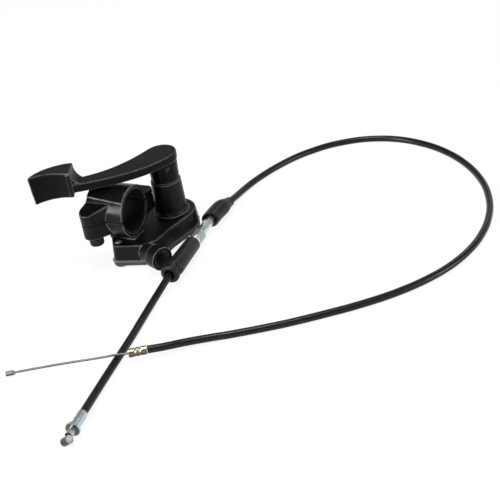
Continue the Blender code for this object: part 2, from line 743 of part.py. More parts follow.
def clamp_cap():
    """The upper clamp half, with the raised pad along its crest."""
    front = front_ear("upper_front_ear", BAR_Z - MM, BAR_Z + FRONT_EAR_UPPER, FRONT_EAR_SLOPE)
    rear = rear_ear("upper_rear_ear", BAR_Z - MM, BAR_Z + REAR_EAR_UPPER)
    cap = clamp_half("clamp_cap", 1, CREST_PAD, front, rear)
    cut(cap, bar_bore("bore_of_cap"))
    cut(cap, bolt_hole("front_hole_high", FRONT_BOLT_X, FRONT_BOLT_Y, BAR_Z, FRONT_HOLE_TOP))
    over = BAR_Z + CLAMP_RADIUS
    cut(cap, bolt_hole("rear_hole_high", REAR_BOLT_X, REAR_BOLT_Y, BAR_Z, over))
    spot = REAR_BOLT_HEAD_DIAMETER / 2 + GAP
    cut(cap, bolt_hole("rear_spot_face", REAR_BOLT_X, REAR_BOLT_Y, BAR_Z + REAR_BOLT_SEAT, over, spot))
    return keep(cap, black_paint("cap_paint"))


def headed_screw(name, radius, head_radius, head_height, length, location, direction, socket, socket_depth):
    """A screw whose head stands up along a direction and whose shank points the other way."""
    edge = 0.15 * head_height
    profile = (
        (0, head_height), (head_radius - 2 * edge, head_height), (head_radius, head_height - 2 * edge),
        (head_radius, 0), (radius, 0), (radius, edge - length), (radius - edge, -length), (0, -length),
    )
    screw = turned(name, profile, location, direction, steps=24)
    up = Vector(direction).normalized()
    top = Vector(location) + up * head_height
    low, high = top - up * socket_depth, top + up * MM
    cut(screw, rod(name + "_socket", low, high, socket / math.sqrt(3), segments=6))
    return screw


def clamp_bolts():
    """One bolt comes up from under the front ear, the other goes down through the rear ear."""
    seat = BAR_Z - FRONT_EAR_LOWER - GAP
    reach = FRONT_HOLE_TOP - GAP - seat
    front = headed_screw("clamp_bolt_front", BOLT_RADIUS, BOLT_HEAD_DIAMETER / 2, FRONT_BOLT_HEAD_HEIGHT,
                         reach, (FRONT_BOLT_X, FRONT_BOLT_Y, seat), (0, 0, -1), BOLT_SOCKET,
                         BOLT_SOCKET_DEPTH)
    keep(front, black_paint("front_bolt_black"))
    seat = BAR_Z + REAR_BOLT_SEAT + GAP
    reach = REAR_BOLT_SEAT + REAR_EAR_LOWER - MM
    rear = headed_screw("clamp_bolt_rear", BOLT_RADIUS, REAR_BOLT_HEAD_DIAMETER / 2, REAR_BOLT_HEAD_HEIGHT,
                        reach, (REAR_BOLT_X, REAR_BOLT_Y, seat), (0, 0, 1), BOLT_SOCKET,
                        REAR_BOLT_HEAD_HEIGHT - 2 * GAP)
    keep(rear, black_paint("rear_bolt_black"))


def bottom_cover():
    """The plate that closes the housing from below, on three round feet."""
    edge = 0.4 * MM
    cover = housing_solid("bottom_cover", [(HOUSING_DRAFT - edge, FOOT_HEIGHT),
                                           (HOUSING_DRAFT, FOOT_HEIGHT + edge), (HOUSING_DRAFT, COVER_TOP)])
    for i, (x, y) in enumerate(SCREW_PLACES):
        profile = ((0, COVER_TOP - MM), (COVER_FOOT_RADIUS + MM / 2, COVER_TOP - MM),
                   (COVER_FOOT_RADIUS, 0.5 * MM), (COVER_FOOT_RADIUS - 0.5 * MM, 0), (0, 0))
        join(cover, turned(f"cover_foot_{i + 1}", profile, (x, y, 0), steps=28))
    for i, (x, y) in enumerate(SCREW_PLACES):
        head_room = SCREW_HEAD_HEIGHT + 2 * GAP
        cut(cover, bolt_hole(f"head_room_{i + 1}", x, y, -MM, head_room, SCREW_HEAD_DIAMETER / 2 + GAP))
        cut(cover, bolt_hole(f"cover_hole_{i + 1}", x, y, MM, COVER_TOP + MM, SCREW_DIAMETER / 2 + GAP))
    return keep(cover, material("cover_paint", (0.05, 0.05, 0.047), 0.5))


def cover_screws():
    for i, (x, y) in enumerate(SCREW_PLACES):
        seat = SCREW_HEAD_HEIGHT + GAP
        tip = TOP_Z + GAP if i == 0 else CEILING
        screw = headed_screw(f"cover_screw_{i + 1}", SCREW_DIAMETER / 2, SCREW_HEAD_DIAMETER / 2,
                             SCREW_HEAD_HEIGHT, tip - seat, (x, y, seat), (0, 0, -1), SCREW_SOCKET, MM)
        keep(screw, steel(f"screw_steel_{i + 1}"))


def blade_half_width(t):
    """Half the blade's width, from its round head at 0 to its neck at 1."""
    share = 0.5 + 0.5 * math.cos(math.pi * t)
    return NECK_HALF_WIDTH + (LEVER_BOSS_RADIUS - NECK_HALF_WIDTH) * share


def blade_outline():
    """A teardrop that curves away along its centre line."""
    sides = ([], [])
    for step in range(13):
        t = step / 12
        centre = BLADE_BEND * (2 * t * (1 - t)) + BLADE_END * t**2
        along = (BLADE_BEND * (1 - 2 * t) + BLADE_END * t).normalized()
        across = Vector((-along.y, along.x))
        sides[0].append(centre + across * blade_half_width(t))
        sides[1].append(centre - across * blade_half_width(t))
    first = sides[0][0]
    head = [Matrix.Rotation(math.pi * i / 14, 2) @ first for i in range(1, 14)]
    if (head[6] - BLADE_END).length < BLADE_END.length:
        head = [Matrix.Rotation(-math.pi * i / 14, 2) @ first for i in range(1, 14)]
    return sides[0][::-1] + head + sides[1]


def paddle_point(along, back):
    """A plan point of the paddle, by its distance from the neck corner and behind the thumb face."""
    return PADDLE_CORNER + turned_by(along, -back, PADDLE_TURN)


def paddle_outline():
    """The thumb face is a hollow arc and the back a long round curve."""
    front = [paddle_point(-PADDLE_END, GAP)]
    for step in range(11):
        share = step / 10
        front.append(paddle_point(PADDLE_WIDTH * share, 4 * PADDLE_HOLLOW * share * (1 - share)))
    back = []
    for step in range(1, 10):
        angle = math.pi / 2 * step / 10
        depth = PADDLE_DEPTH * math.sin(angle) ** PADDLE_BACK_POWER
        back.append(paddle_point(PADDLE_WIDTH * math.cos(angle), depth))
    back.append(paddle_point(-PADDLE_END, PADDLE_DEPTH))
    return front + back


def paddle_fillet():
    """The hollow ramp that rises from the neck to the paddle's top."""
    low = LEVER_TOP - MM
    high = PADDLE_TOP - MM
    outline = [Vector((-PADDLE_FILLET, low)), Vector((MM, low)), Vector((MM, high))]
    for step in range(7):
        angle = math.pi / 2 * (1 - step / 6)
        drop = (high - LEVER_TOP) * math.cos(angle)
        outline.append(Vector((-PADDLE_FILLET * (1 - math.sin(angle)), high - drop)))
    near = paddle_point(-PADDLE_END, 1.4 * MM)
    along = turned_by(1, 0, PADDLE_TURN)
    back = turned_by(0, -1, PADDLE_TURN)
    place = Matrix(((along.x, 0, back.x, near.x), (along.y, 0, back.y, near.y),
                    (0, 1, 0, 0), (0, 0, 0, 1)))
    depth = 2 * NECK_HALF_WIDTH - BLADE_EDGE
    fillet = prism("paddle_fillet", outline, place, depth)
    spread = Vector((back.x, back.y, 0)) * (PADDLE_DEPTH - depth - 2 * MM)
    for vert in fillet.data.vertices:
        across = (vert.co.xy - near).dot(back)
        if across > NECK_HALF_WIDTH:
            vert.co += spread * min(1.0, 1 + (vert.co.xy - near).dot(along) / PADDLE_FILLET)
    return fillet


def thumb_lever():
    """One casting of boss, blade and thumb paddle."""
    lever = plate("thumb_lever", blade_outline(), BLADE_BOTTOM, LEVER_TOP, top_round=BLADE_EDGE,
                  foot_round=BLADE_EDGE)
    boss = rod("lever_boss", (0, 0, LEVER_BOTTOM), (0, 0, LEVER_TOP - MM), LEVER_BOSS_FOOT_RADIUS,
               LEVER_BOSS_RADIUS - 0.3 * MM, segments=56)
    paddle = plate("paddle", paddle_outline(), PADDLE_TOP - PADDLE_HEIGHT, PADDLE_TOP, top_round=BLADE_EDGE,
                   foot_round=BLADE_EDGE)
    along = turned_by(1, 0, PADDLE_TURN)
    foot = PADDLE_TOP - PADDLE_HEIGHT
    for vert in paddle.data.vertices:
        if vert.co.z < foot + MM:
            share = (vert.co.xy - PADDLE_CORNER).dot(along) / PADDLE_WIDTH
            vert.co.z += PADDLE_TILT * (1 - share)
            vert.co -= Vector((along.x, along.y, 0)) * PADDLE_DRAFT * share
    rib_place = paddle_point(-0.1 * MM, -0.1 * MM)
    rib = rod("paddle_rib", (*rib_place, foot + PADDLE_TILT + MM), (*rib_place, PADDLE_TOP - 0.4 * MM),
              PADDLE_RIB, segments=20)
    join(lever, boss, paddle, rib, paddle_fillet())
    shaft_top = LEVER_BOTTOM + SHAFT_IN_LEVER + GAP
    low = LEVER_BOTTOM - MM
    cut(lever, rod("shaft_socket", (0, 0, low), (0, 0, shaft_top), SHAFT_RADIUS + GAP, segments=32))
    cut(lever, cross_rod("pin_hole", PIN_DIAMETER / 2 + GAP, 2 * LEVER_BOSS_RADIUS))
    return keep(lever, black_paint("lever_paint"))


def cross_rod(name, radius, reach):
    """A rod through the lever's boss along the cross pin's line."""
    out = turned_by(reach, 0, PIN_ANGLE)
    height = LEVER_BOTTOM + PIN_HEIGHT
    return rod(name, (*-out, height), (*out, height), radius, segments=20)


def lever_shaft():
    """The shaft: a thread for the nut, two flats for the arm, then round up into the lever."""
    thread = SHAFT_THREAD_DIAMETER / 2
    top = LEVER_BOTTOM + SHAFT_IN_LEVER
    edge = 0.4 * MM
    shoulder = ARM_LOW - GAP / 2
    profile = ((0, top), (SHAFT_RADIUS - edge, top), (SHAFT_RADIUS, top - edge), (SHAFT_RADIUS, shoulder),
               (thread, shoulder), (thread, SHAFT_FOOT + edge), (thread - edge, SHAFT_FOOT), (0, SHAFT_FOOT))
    shaft = turned("lever_shaft", profile, steps=32)
    for side in (-1, 1):
        near = side * SHAFT_FLATS / 2
        far = side * 2 * SHAFT_RADIUS
        low = (-2 * SHAFT_RADIUS, min(near, far), SHAFT_FOOT - MM)
        high = (2 * SHAFT_RADIUS, max(near, far), ARM_HIGH + GAP)
        cut(shaft, block(f"shaft_flat_{side + 2}", low, high))
    cut(shaft, cross_rod("pin_hole_in_shaft", PIN_DIAMETER / 2 + GAP, 2 * LEVER_BOSS_RADIUS))
    return keep(shaft, steel("shaft_steel"))


def lever_cross_pin():
    pin = cross_rod("lever_cross_pin", PIN_DIAMETER / 2, LEVER_BOSS_FOOT_RADIUS)
    return keep(pin, steel("pin_steel"))


def arm_half_width(along):
    """Half the arm's width at a distance from its hub's centre."""
    return ARM_HUB_RADIUS + (ARM_END_RADIUS - ARM_HUB_RADIUS) * along / ARM_RADIUS


def cable_pull_arm():
    """The flat arm under the ceiling. Its end holds the cable's barrel, with a slot towards the port."""
    end = turned_by(ARM_RADIUS, 0, ARM_REST_ANGLE)
    outline = hull(circle((0, 0), ARM_HUB_RADIUS, 36) + circle(end, ARM_END_RADIUS, 24))
    arm = plate("cable_pull_arm", outline, ARM_LOW, ARM_HIGH, top_round=0.3 * MM, foot_round=0.3 * MM)
    low, high = ARM_LOW - MM, ARM_HIGH + MM
    hole = rod("arm_shaft_hole", (0, 0, low), (0, 0, high), SHAFT_RADIUS + GAP, segments=32)
    flats = SHAFT_FLATS / 2 + GAP
    for side in (-1, 1):
        near, far = side * flats, side * 3 * SHAFT_RADIUS
        cut(hole, block(f"arm_flat_{side + 2}", (-2 * SHAFT_RADIUS, min(near, far), low - MM),
                        (2 * SHAFT_RADIUS, max(near, far), high + MM)))
    cut(arm, hole)
    cut(arm, rod("barrel_pocket", (*end, low), (*end, high), BARREL_RADIUS + GAP, segments=20))
    out = turned_by(2 * ARM_END_RADIUS, 0, PORT_ANGLE)
    across = turned_by(0, WIRE_RADIUS + GAP, PORT_ANGLE)
    slot = [end - across, end + out - across, end + out + across, end + across]
    cut(arm, plate("wire_slot", slot, low, high))
    return keep(arm, steel("arm_steel"))


def shaft_nut():
    nut = rod("shaft_nut", (0, 0, NUT_LOW), (0, 0, NUT_LOW + ARM_NUT_HEIGHT),
              ARM_NUT_ACROSS / math.sqrt(3), segments=6)
    bore = SHAFT_THREAD_DIAMETER / 2 + GAP
    cut(nut, rod("nut_bore", (0, 0, NUT_LOW - MM), (0, 0, ARM_LOW + MM), bore, segments=24))
    return keep(nut, steel("nut_steel"))


def bush(name, low, high):
    edge = 0.3 * MM
    profile = ((BUSH_INSIDE, high), (BUSH_OUTSIDE - edge, high), (BUSH_OUTSIDE, high - edge),
               (BUSH_OUTSIDE, low), (BUSH_INSIDE, low))
    made = turned(name, profile, steps=32, closed=True)
    return keep(made, material(name + "_bronze", (0.5, 0.33, 0.15), 0.4, 1.0))


def bushes():
    bush("shaft_bush_upper", COLUMN_TOP - GAP - UPPER_BUSH_LENGTH, COLUMN_TOP - GAP)
    low = SPRING_ROOM_TOP + GAP
    bush("shaft_bush_lower", low, low + LOWER_BUSH_LENGTH)


def return_spring():
    """A torsion spring: one end hooks past the arm, the other stands in a hole in the column."""
    points = []
    hook = turned_by(arm_half_width(0) + SPRING_WIRE, 0, 0)
    points.append(Vector((*hook, ARM_LOW)))
    points.append(Vector((*hook, SPRING_LOW - SPRING_WIRE * 0.3)))
    steps = round(SPRING_TURNS * 16)
    for step in range(1, steps + 1):
        turn = SPRING_TURNS * step / steps
        place = turned_by(SPRING_RADIUS, 0, 360 * turn)
        points.append(Vector((*place, SPRING_LOW + SPRING_PITCH * turn)))
    tang = points[-1].copy()
    tang.z = SPRING_ROOM_TOP + SPRING_TANG
    points.append(tang)
    return keep(tube("return_spring", points, SPRING_WIRE / 2, resolution=1), steel("spring_steel"))


def on_line(along):
    """A point on the straight line through the boots and the adjuster."""
    return LINE_START + LINE * along


def lower_boot():
    """The rubber boot with a thick collar, open at both ends."""
    hole = BOOT_HOLE / 2
    room = BOOT_RADIUS - BOOT_WALL
    soft = 0.6 * MM
    bevel = 2 * soft
    collar = COLLAR_LENGTH
    profile = (
        (room, BOOT_LENGTH), (BOOT_RADIUS - soft, BOOT_LENGTH), (BOOT_RADIUS, BOOT_LENGTH - soft),
        (BOOT_RADIUS, collar + 4.5 * MM), (BOOT_NECK_RADIUS, collar + 1.2 * MM), (BOOT_NECK_RADIUS, collar),
        (COLLAR_RADIUS - soft, collar), (COLLAR_RADIUS, collar - soft), (COLLAR_RADIUS, bevel),
        (COLLAR_RADIUS - soft, soft / 2), (COLLAR_RADIUS - bevel, 0), (hole + soft, 0), (hole, soft),
        (hole, collar + 4.5 * MM),
        (room, collar + 7.0 * MM),
    )
    boot = turned("lower_boot", profile, LINE_START, LINE, steps=32, closed=True)
    return keep(boot, rubber("lower_boot_rubber"))


def adjuster():
    """The threaded rod with its flange, the lock nut on it, and the hexagon adjuster it screws into."""
    thread = THREAD_DIAMETER / 2
    start = BOOT_LENGTH - ADJUSTER_TAIL
    flange = BOOT_LENGTH + GAP
    nut = flange + FLANGE_LENGTH + GAP
    body = nut + LOCK_NUT_LENGTH + GAP
    tip = body + THREAD_ENGAGED
    profile = ((0, tip), (thread, tip), (thread, flange + FLANGE_LENGTH),
               (FLANGE_RADIUS, flange + FLANGE_LENGTH), (FLANGE_RADIUS, flange), (SHEATH_RADIUS, flange),
               (SHEATH_RADIUS, start), (0, start))
    keep(turned("adjuster_screw", profile, LINE_START, LINE, steps=24), zinc("screw_zinc"))
    corner = 1 / math.sqrt(3)
    lock = rod("lock_nut", on_line(nut), on_line(nut + LOCK_NUT_LENGTH), LOCK_NUT_ACROSS * corner,
               segments=6)
    cut(lock, rod("lock_nut_bore", on_line(nut - MM), on_line(body + MM), thread + GAP, segments=20))
    keep(lock, zinc("lock_nut_zinc"))
    sleeve = rod("adjuster", on_line(body), on_line(body + ADJUSTER_LENGTH), ADJUSTER_ACROSS * corner,
                 segments=6)
    cut(sleeve, rod("adjuster_thread", on_line(body - MM), on_line(tip + GAP), thread + GAP, segments=20))
    cut(sleeve, rod("adjuster_bore", on_line(tip), on_line(body + ADJUSTER_LENGTH + MM), WIRE_RADIUS + GAP,
                    segments=12))
    keep(sleeve, zinc("adjuster_zinc"))


def upper_boot():
    """The second boot, bent with the sheath: wide where it gapes over the adjuster, narrow at the sheath."""
    route = in_metres(UPPER_BOOT_ROUTE)
    radii = [UPPER_BOOT_RADIUS * share for share in (1, 1, 1, 0.99, 0.95, 0.85, 0.7)]
    radii.append(UPPER_BOOT_END_RADIUS)
    outer = as_mesh(tube("upper_boot", route, 1.0, resolution=4, radii=radii))
    inner_route = [route[0] - LINE * MM] + route[:-1] + [route[-1] * 2 - route[-2]]
    hole = SHEATH_RADIUS + 1.2 * GAP
    inner_radii = [UPPER_BOOT_INSIDE] * 5 + [hole] * 4
    inner = as_mesh(tube("upper_boot_inside", inner_route, 1.0, resolution=4, radii=inner_radii))
    cut(outer, inner)
    return keep(outer, rubber("upper_boot_rubber"))


def sheaths():
    lower = smooth_path(in_metres(LOWER_ROUTE), SPLINE_STEP)
    keep(tube("lower_sheath", lower, SHEATH_RADIUS), sheath_black("lower_sheath_black"))
    upper = smooth_path(in_metres(UPPER_ROUTE), SPLINE_STEP)
    keep(tube("upper_sheath", upper, SHEATH_RADIUS), sheath_black("upper_sheath_black"))


def lever_end():
    """The sleeve, flange and stub on the lower sheath, and the barrel that sits in the pull arm."""
    last, before = in_metres(LOWER_ROUTE)[-1], in_metres(LOWER_ROUTE)[-2]
    heading = (last - before).normalized()
    start = last + heading * GAP
    heading.z = (SLEEVE_FLANGE_RADIUS - start.z) / SLEEVE_LENGTH
    heading.normalize()
    flange = SLEEVE_LENGTH + SLEEVE_FLANGE_LENGTH
    end = flange + STUB_LENGTH
    hole = WIRE_RADIUS + GAP
    profile = (
        (hole, end), (STUB_RADIUS, end), (STUB_RADIUS, flange), (SLEEVE_FLANGE_RADIUS, flange),
        (SLEEVE_FLANGE_RADIUS, SLEEVE_LENGTH), (SLEEVE_RADIUS, SLEEVE_LENGTH), (SLEEVE_RADIUS, 0), (hole, 0),
    )
    sleeve = turned("lever_end_ferrule", profile, start, heading, steps=28, closed=True)
    keep(sleeve, zinc("ferrule_zinc"))
    centre = start + heading * (end + GAP + BARREL_RADIUS)
    tilt = math.radians(BARREL_TILT)
    axis = Vector((math.cos(tilt), 0, math.sin(tilt)))
    centre.z = axis.z * BARREL_LENGTH / 2 + axis.x * BARREL_RADIUS + TABLE_GAP
    barrel = rod("barrel_nipple", centre - axis * BARREL_LENGTH / 2, centre + axis * BARREL_LENGTH / 2,
                 BARREL_RADIUS, segments=28)
    keep(barrel, zinc("barrel_zinc"))


def carburettor_end():
    """The crimped ferrule, the bare inner wire and its small nipple with a cone."""
    last, before = in_metres(UPPER_ROUTE)[-1], in_metres(UPPER_ROUTE)[-2]
    wire = in_metres(WIRE_ROUTE)
    start = last + (last - before).normalized() * GAP
    heading = (wire[0] - start).normalized()
    length, hole = FERRULE_LENGTH, WIRE_RADIUS + GAP
    profile = [(hole, length), (FERRULE_RADIUS, length)]
    for share in (0.62, 0.36):
        middle, half = share * length, 1.6 * FERRULE_GROOVE
        profile += [(FERRULE_RADIUS, middle + half), (FERRULE_RADIUS - FERRULE_GROOVE, middle),
                    (FERRULE_RADIUS, middle - half)]
    profile += [(FERRULE_RADIUS, 0), (hole, 0)]
    ferrule = turned("carburettor_ferrule", profile, start, heading, steps=28, closed=True)
    keep(ferrule, material("ferrule_brass", (0.55, 0.47, 0.33), 0.35, 1.0))
    inner = tube("inner_wire", smooth_path(wire, SPLINE_STEP), WIRE_RADIUS, resolution=1)
    keep(inner, steel("wire_steel"))
    heading = (wire[-1] - wire[-2]).normalized()
    tip = NIPPLE_CONE + NIPPLE_LENGTH
    profile = ((0, tip), (NIPPLE_RADIUS, tip), (NIPPLE_RADIUS, NIPPLE_CONE), (WIRE_RADIUS, 0), (0, 0))
    nipple = turned("carburettor_nipple", profile, wire[-1] + heading * GAP, heading, steps=20)
    keep(nipple, steel("nipple_steel"))


def build():
    body_casting()
    clamp_cap()
    clamp_bolts()
    bottom_cover()
    cover_screws()
    thumb_lever()
    lever_shaft()
    lever_cross_pin()
    cable_pull_arm()
    shaft_nut()
    bushes()
    return_spring()
    lower_boot()
    adjuster()
    upper_boot()
    sheaths()
    lever_end()
    carburettor_end()


for leftover in list(bpy.data.objects):
    bpy.data.objects.remove(leftover)
PART = collection_named("thumb_throttle_lever")
HELPERS = collection_named("cutters_and_joined_shapes")
build()
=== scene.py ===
"""Looks for the thumb throttle lever: camera, cable, finishes, light and a white table."""

import math

import bmesh
import bpy
from mathutils import Matrix, Vector


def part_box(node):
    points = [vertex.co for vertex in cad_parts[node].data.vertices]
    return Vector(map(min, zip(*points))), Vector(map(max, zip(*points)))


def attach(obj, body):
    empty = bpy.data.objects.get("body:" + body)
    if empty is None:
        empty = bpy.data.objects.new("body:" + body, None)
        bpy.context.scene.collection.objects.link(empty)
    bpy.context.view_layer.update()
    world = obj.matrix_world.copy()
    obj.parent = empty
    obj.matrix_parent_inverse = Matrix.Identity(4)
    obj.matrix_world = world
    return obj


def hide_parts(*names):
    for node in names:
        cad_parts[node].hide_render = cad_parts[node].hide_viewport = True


MM = 0.001
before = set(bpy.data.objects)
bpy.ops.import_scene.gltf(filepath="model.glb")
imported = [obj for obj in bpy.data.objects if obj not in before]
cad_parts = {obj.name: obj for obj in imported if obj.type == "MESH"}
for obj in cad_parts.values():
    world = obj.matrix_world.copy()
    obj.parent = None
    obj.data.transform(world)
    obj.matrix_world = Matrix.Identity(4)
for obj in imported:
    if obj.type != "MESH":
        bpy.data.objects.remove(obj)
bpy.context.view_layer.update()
SCENE = bpy.context.scene

# The route of each free stretch of sheath and wire, in metres, as in the part's source
LOWER_ROUTE = [(x * MM, y * MM, z * MM) for x, y, z in (
    (21.2, -33.6, 4.9), (21.7, -41.0, 4.95), (22.1, -48.5, 4.8), (22.5, -58.7, 3.6), (23.0, -69.1, 2.5),
    (24.2, -81.1, 1.95), (25.8, -93.2, 1.87), (27.1, -104.6, 1.87), (28.3, -116.1, 1.87),
    (29.5, -126.8, 1.9), (31.0, -137.9, 2.2), (32.7, -148.7, 2.75),
)]
UPPER_ROUTE = [(x * MM, y * MM, z * MM) for x, y, z in (
    (18.4, 14.2, 4.45), (18.8, 18.6, 4.4), (19.4, 22.6, 4.25), (20.0, 27.0, 3.9), (20.5, 32.0, 3.35),
    (20.8, 37.5, 2.75), (21.1, 43.3, 2.25), (22.2, 51.4, 1.95), (24.4, 60.5, 1.87), (27.9, 70.8, 1.87),
    (32.3, 80.8, 1.87), (37.6, 90.4, 1.87), (43.9, 98.6, 1.87), (50.6, 105.8, 1.87), (58.1, 111.4, 1.87),
    (66.5, 116.2, 1.87), (75.5, 119.2, 1.87), (85.0, 120.7, 1.87), (94.5, 120.3, 1.87),
    (104.5, 118.0, 1.87), (115.1, 113.8, 1.87), (126.3, 106.8, 1.87), (136.5, 97.8, 1.87),
    (145.9, 86.4, 1.87), (154.2, 72.0, 1.87), (160.0, 55.4, 1.87), (162.4, 40.4, 1.87),
    (162.6, 28.8, 1.87), (161.2, 16.2, 1.87), (157.8, 3.5, 1.87), (152.9, -8.0, 1.87),
    (146.7, -18.3, 1.87), (139.7, -27.6, 1.87), (131.4, -36.7, 1.87), (122.1, -45.3, 1.87),
    (112.6, -53.1, 1.87), (93.4, -67.5, 1.87), (73.6, -80.2, 1.9), (63.6, -86.3, 2.2),
    (54.1, -93.4, 3.1), (47.2, -99.8, 4.2), (40.6, -104.7, 4.85),
)]
WIRE_ROUTE = [(x * MM, y * MM, z * MM) for x, y, z in (
    (33.9, -109.1, 4.9), (27.8, -111.9, 4.8), (20.5, -115.2, 4.1), (7.9, -120.4, 3.0),
    (-4.9, -126.4, 2.1), (-14.7, -131.6, 1.6),
)]
UPPER_BOOT_ROUTE = [(x * MM, y * MM, z * MM) for x, y, z in (
    (18.9, 4.9, 4.55), (18.65, 9.5, 4.5), (18.6, 14.2, 4.5), (18.9, 18.6, 4.47), (19.3, 22.0, 4.35),
    (19.7, 24.8, 4.1), (20.0, 27.0, 3.9), (20.3, 29.0, 3.65),
)]
SHEATH_RADIUS = 1.85 * MM
WIRE_RADIUS = 0.575 * MM

# The straight line through both boots and the adjuster, and lengths along it
LINE_START = Vector((22.05, -47.8, 5.03)) * MM
LINE = (Vector((18.9, 4.9, 4.55)) * MM - LINE_START).normalized()
BOOT_LENGTH = 30.8 * MM
BOOT_RADIUS = 4.15 * MM
GAP = 0.3 * MM
BARE_THREAD = 2.2 * MM
NUT_PLACE = BOOT_LENGTH + 2 * GAP + BARE_THREAD
NUT_LENGTH = 6.5 * MM
NUT_ACROSS = 6.8 * MM
ADJUSTER_ACROSS = 4.6 * MM
ADJUSTER_LENGTH = 20.3 * MM

# A corner of the nut and one of the sleeve, as they were turned when they were locked
NUT_RIDGE = (0.567, 0.04, 0.822)
SLEEVE_RIDGE = (0.94, 0.05, 0.33)

# The way that the upper boot's torn point faces
TEAR_SIDE = Vector((0.95, 0.1, -0.12))

# The clamp: the height where its halves meet, and the handlebar's bore
SPLIT_HEIGHT = 27.9 * MM
BAR_Y = -27.7 * MM
BAR_RADIUS = 11.1 * MM

# The bolts' threads, the middle of the cable port's mouth and the way that the port slants
THREAD_PITCH = 0.8 * MM
PORT_MOUTH = Vector((14.5, -39.6, 8.4)) * MM
PORT_ANGLE = math.radians(-22.0)

# Places on the lever
PADDLE_DIMPLE = (-35.5 * MM, -43.0 * MM, 46.4 * MM)
PIN_END = (7.3 * MM, -4.0 * MM, 39.4 * MM)

# The fitted camera
CAMERA_PLACE = (0.26622, -0.40720, 0.28205)
CAMERA_RIGHT = Vector((0.90645, 0.4015, -0.13097))
CAMERA_BACK = Vector((0.4064, -0.7449, 0.52911))
SENSOR_WIDTH = 36.0
LENS = 73.39

# The table's middle, under the object, and the distances over which its shadow fades out
TABLE_MIDDLE = (0.05, -0.02, 0)
TABLE_DROP = 0.05 * MM
SHADOW_NEAR, SHADOW_FAR = 0.3, 0.9

# How bright the dim ceiling is, and the heights between which the white backdrop falls to it
CEILING = 0.2
BACKDROP_LOW, BACKDROP_HIGH = 0.2, 0.5


# Camera

def add_camera():
    """The camera that the photograph was fitted with."""
    data = bpy.data.cameras.new("camera")
    data.sensor_width = SENSOR_WIDTH
    data.lens = LENS
    data.clip_start = 0.01
    data.clip_end = 20.0
    camera = bpy.data.objects.new("camera", data)
    right = CAMERA_RIGHT.normalized()
    back = CAMERA_BACK.normalized()
    up = back.cross(right)
    turn = Matrix((right, up, back)).transposed().to_4x4()
    camera.matrix_world = Matrix.Translation(CAMERA_PLACE) @ turn
    SCENE.collection.objects.link(camera)
    SCENE.camera = camera


add_camera()


# Shapes

def smooth_path(points, step):
    """Points every step or so along a smooth curve through the given ones."""
    points = [Vector(point) for point in points]
    path = []
    for i in range(len(points) - 1):
        ends = [points[max(i - 1, 0)], points[i], points[i + 1], points[min(i + 2, len(points) - 1)]]
        pieces = max(1, round((ends[2] - ends[1]).length / step))
        for piece in range(pieces):
            t = piece / pieces
            weights = (-t**3 + 2 * t**2 - t, 3 * t**3 - 5 * t**2 + 2,
                       -3 * t**3 + 4 * t**2 + t, t**3 - t**2)
            parts = (end * weight / 2 for end, weight in zip(ends, weights))
            path.append(sum(parts, Vector((0, 0, 0))))
    return path + [points[-1]]


def length_of(path):
    """The length of a path along its points."""
    return sum((b - a).length for a, b in zip(path, path[1:]))


def new_object(name, mesh, *materials):
    """An object in the scene with a mesh and its materials."""
    obj = bpy.data.objects.new(name, mesh)
    SCENE.collection.objects.link(obj)
    for material in materials:
        mesh.materials.append(material)
    return obj


def finished(name, bm, *materials, angle=35.0):
    """An object from a bmesh, smooth but for its sharp edges."""
    bmesh.ops.recalc_face_normals(bm, faces=bm.faces)
    mesh = bpy.data.meshes.new(name)
    bm.to_mesh(mesh)
    bm.free()
    mesh.shade_smooth()
    mesh.set_sharp_from_angle(angle=math.radians(angle))
    return new_object(name, mesh, *materials)


def frames_along(path):
    """A place and two crossways directions for each point, with no twist from one to the next."""
    tangents = []
    for i in range(len(path)):
        ahead = path[min(i + 1, len(path) - 1)] - path[max(i - 1, 0)]
        tangents.append(ahead.normalized())
    side = tangents[0].orthogonal().normalized()
    frames = []
    for point, tangent in zip(path, tangents):
        side = (side - tangent * side.dot(tangent)).normalized()
        frames.append((point, side, tangent.cross(side)))
    return frames


def sweep(bm, path, section):
    """A skin along a path, closed at both ends. section(i, angle) gives each point's distance from it."""
    count = section.count
    rings = []
    for i, (point, side, up) in enumerate(frames_along(path)):
        ring = []
        for k in range(count):
            angle = 2 * math.pi * k / count
            reach = section(i, angle)
            ring.append(bm.verts.new(point + (side * math.cos(angle) + up * math.sin(angle)) * reach))
        rings.append(ring)
    for low, high in zip(rings, rings[1:]):
        for k in range(count):
            bm.faces.new((low[k - 1], low[k], high[k], high[k - 1]))
    bm.faces.new(rings[0][::-1])
    bm.faces.new(rings[-1])


class Round:
    """A round section of one radius."""

    def __init__(self, radius, count):
        self.radius = radius
        self.count = count

    def __call__(self, i, angle):
        return self.radius


class Strands:
    """The outline of a wire rope: lobes that turn as they go along, once round in each lay."""

    LOBE_DEPTH = 0.24

    def __init__(self, radius, lobes, lay, step, count):
        self.radius = radius
        self.lobes = lobes
        self.turn = 2 * math.pi * step / lay
        self.count = count

    def __call__(self, i, angle):
        lobe = abs(math.sin((angle - self.turn * i) * self.lobes / 2))
        return self.radius * (1 - self.LOBE_DEPTH + self.LOBE_DEPTH * lobe)


def hexagon(across, limit):
    """The reach of a hexagon whose corners are cut back to a circle, as on a chamfered nut."""
    def reach(turn):
        return min(across / 2 / math.cos((turn % (math.pi / 3)) - math.pi / 6), limit)
    return reach


def knurled(radius, depth, ridges):
    """A round reach with straight ridges round it."""
    def reach(turn):
        return radius - depth * abs(math.sin(turn * ridges / 2))
    return reach


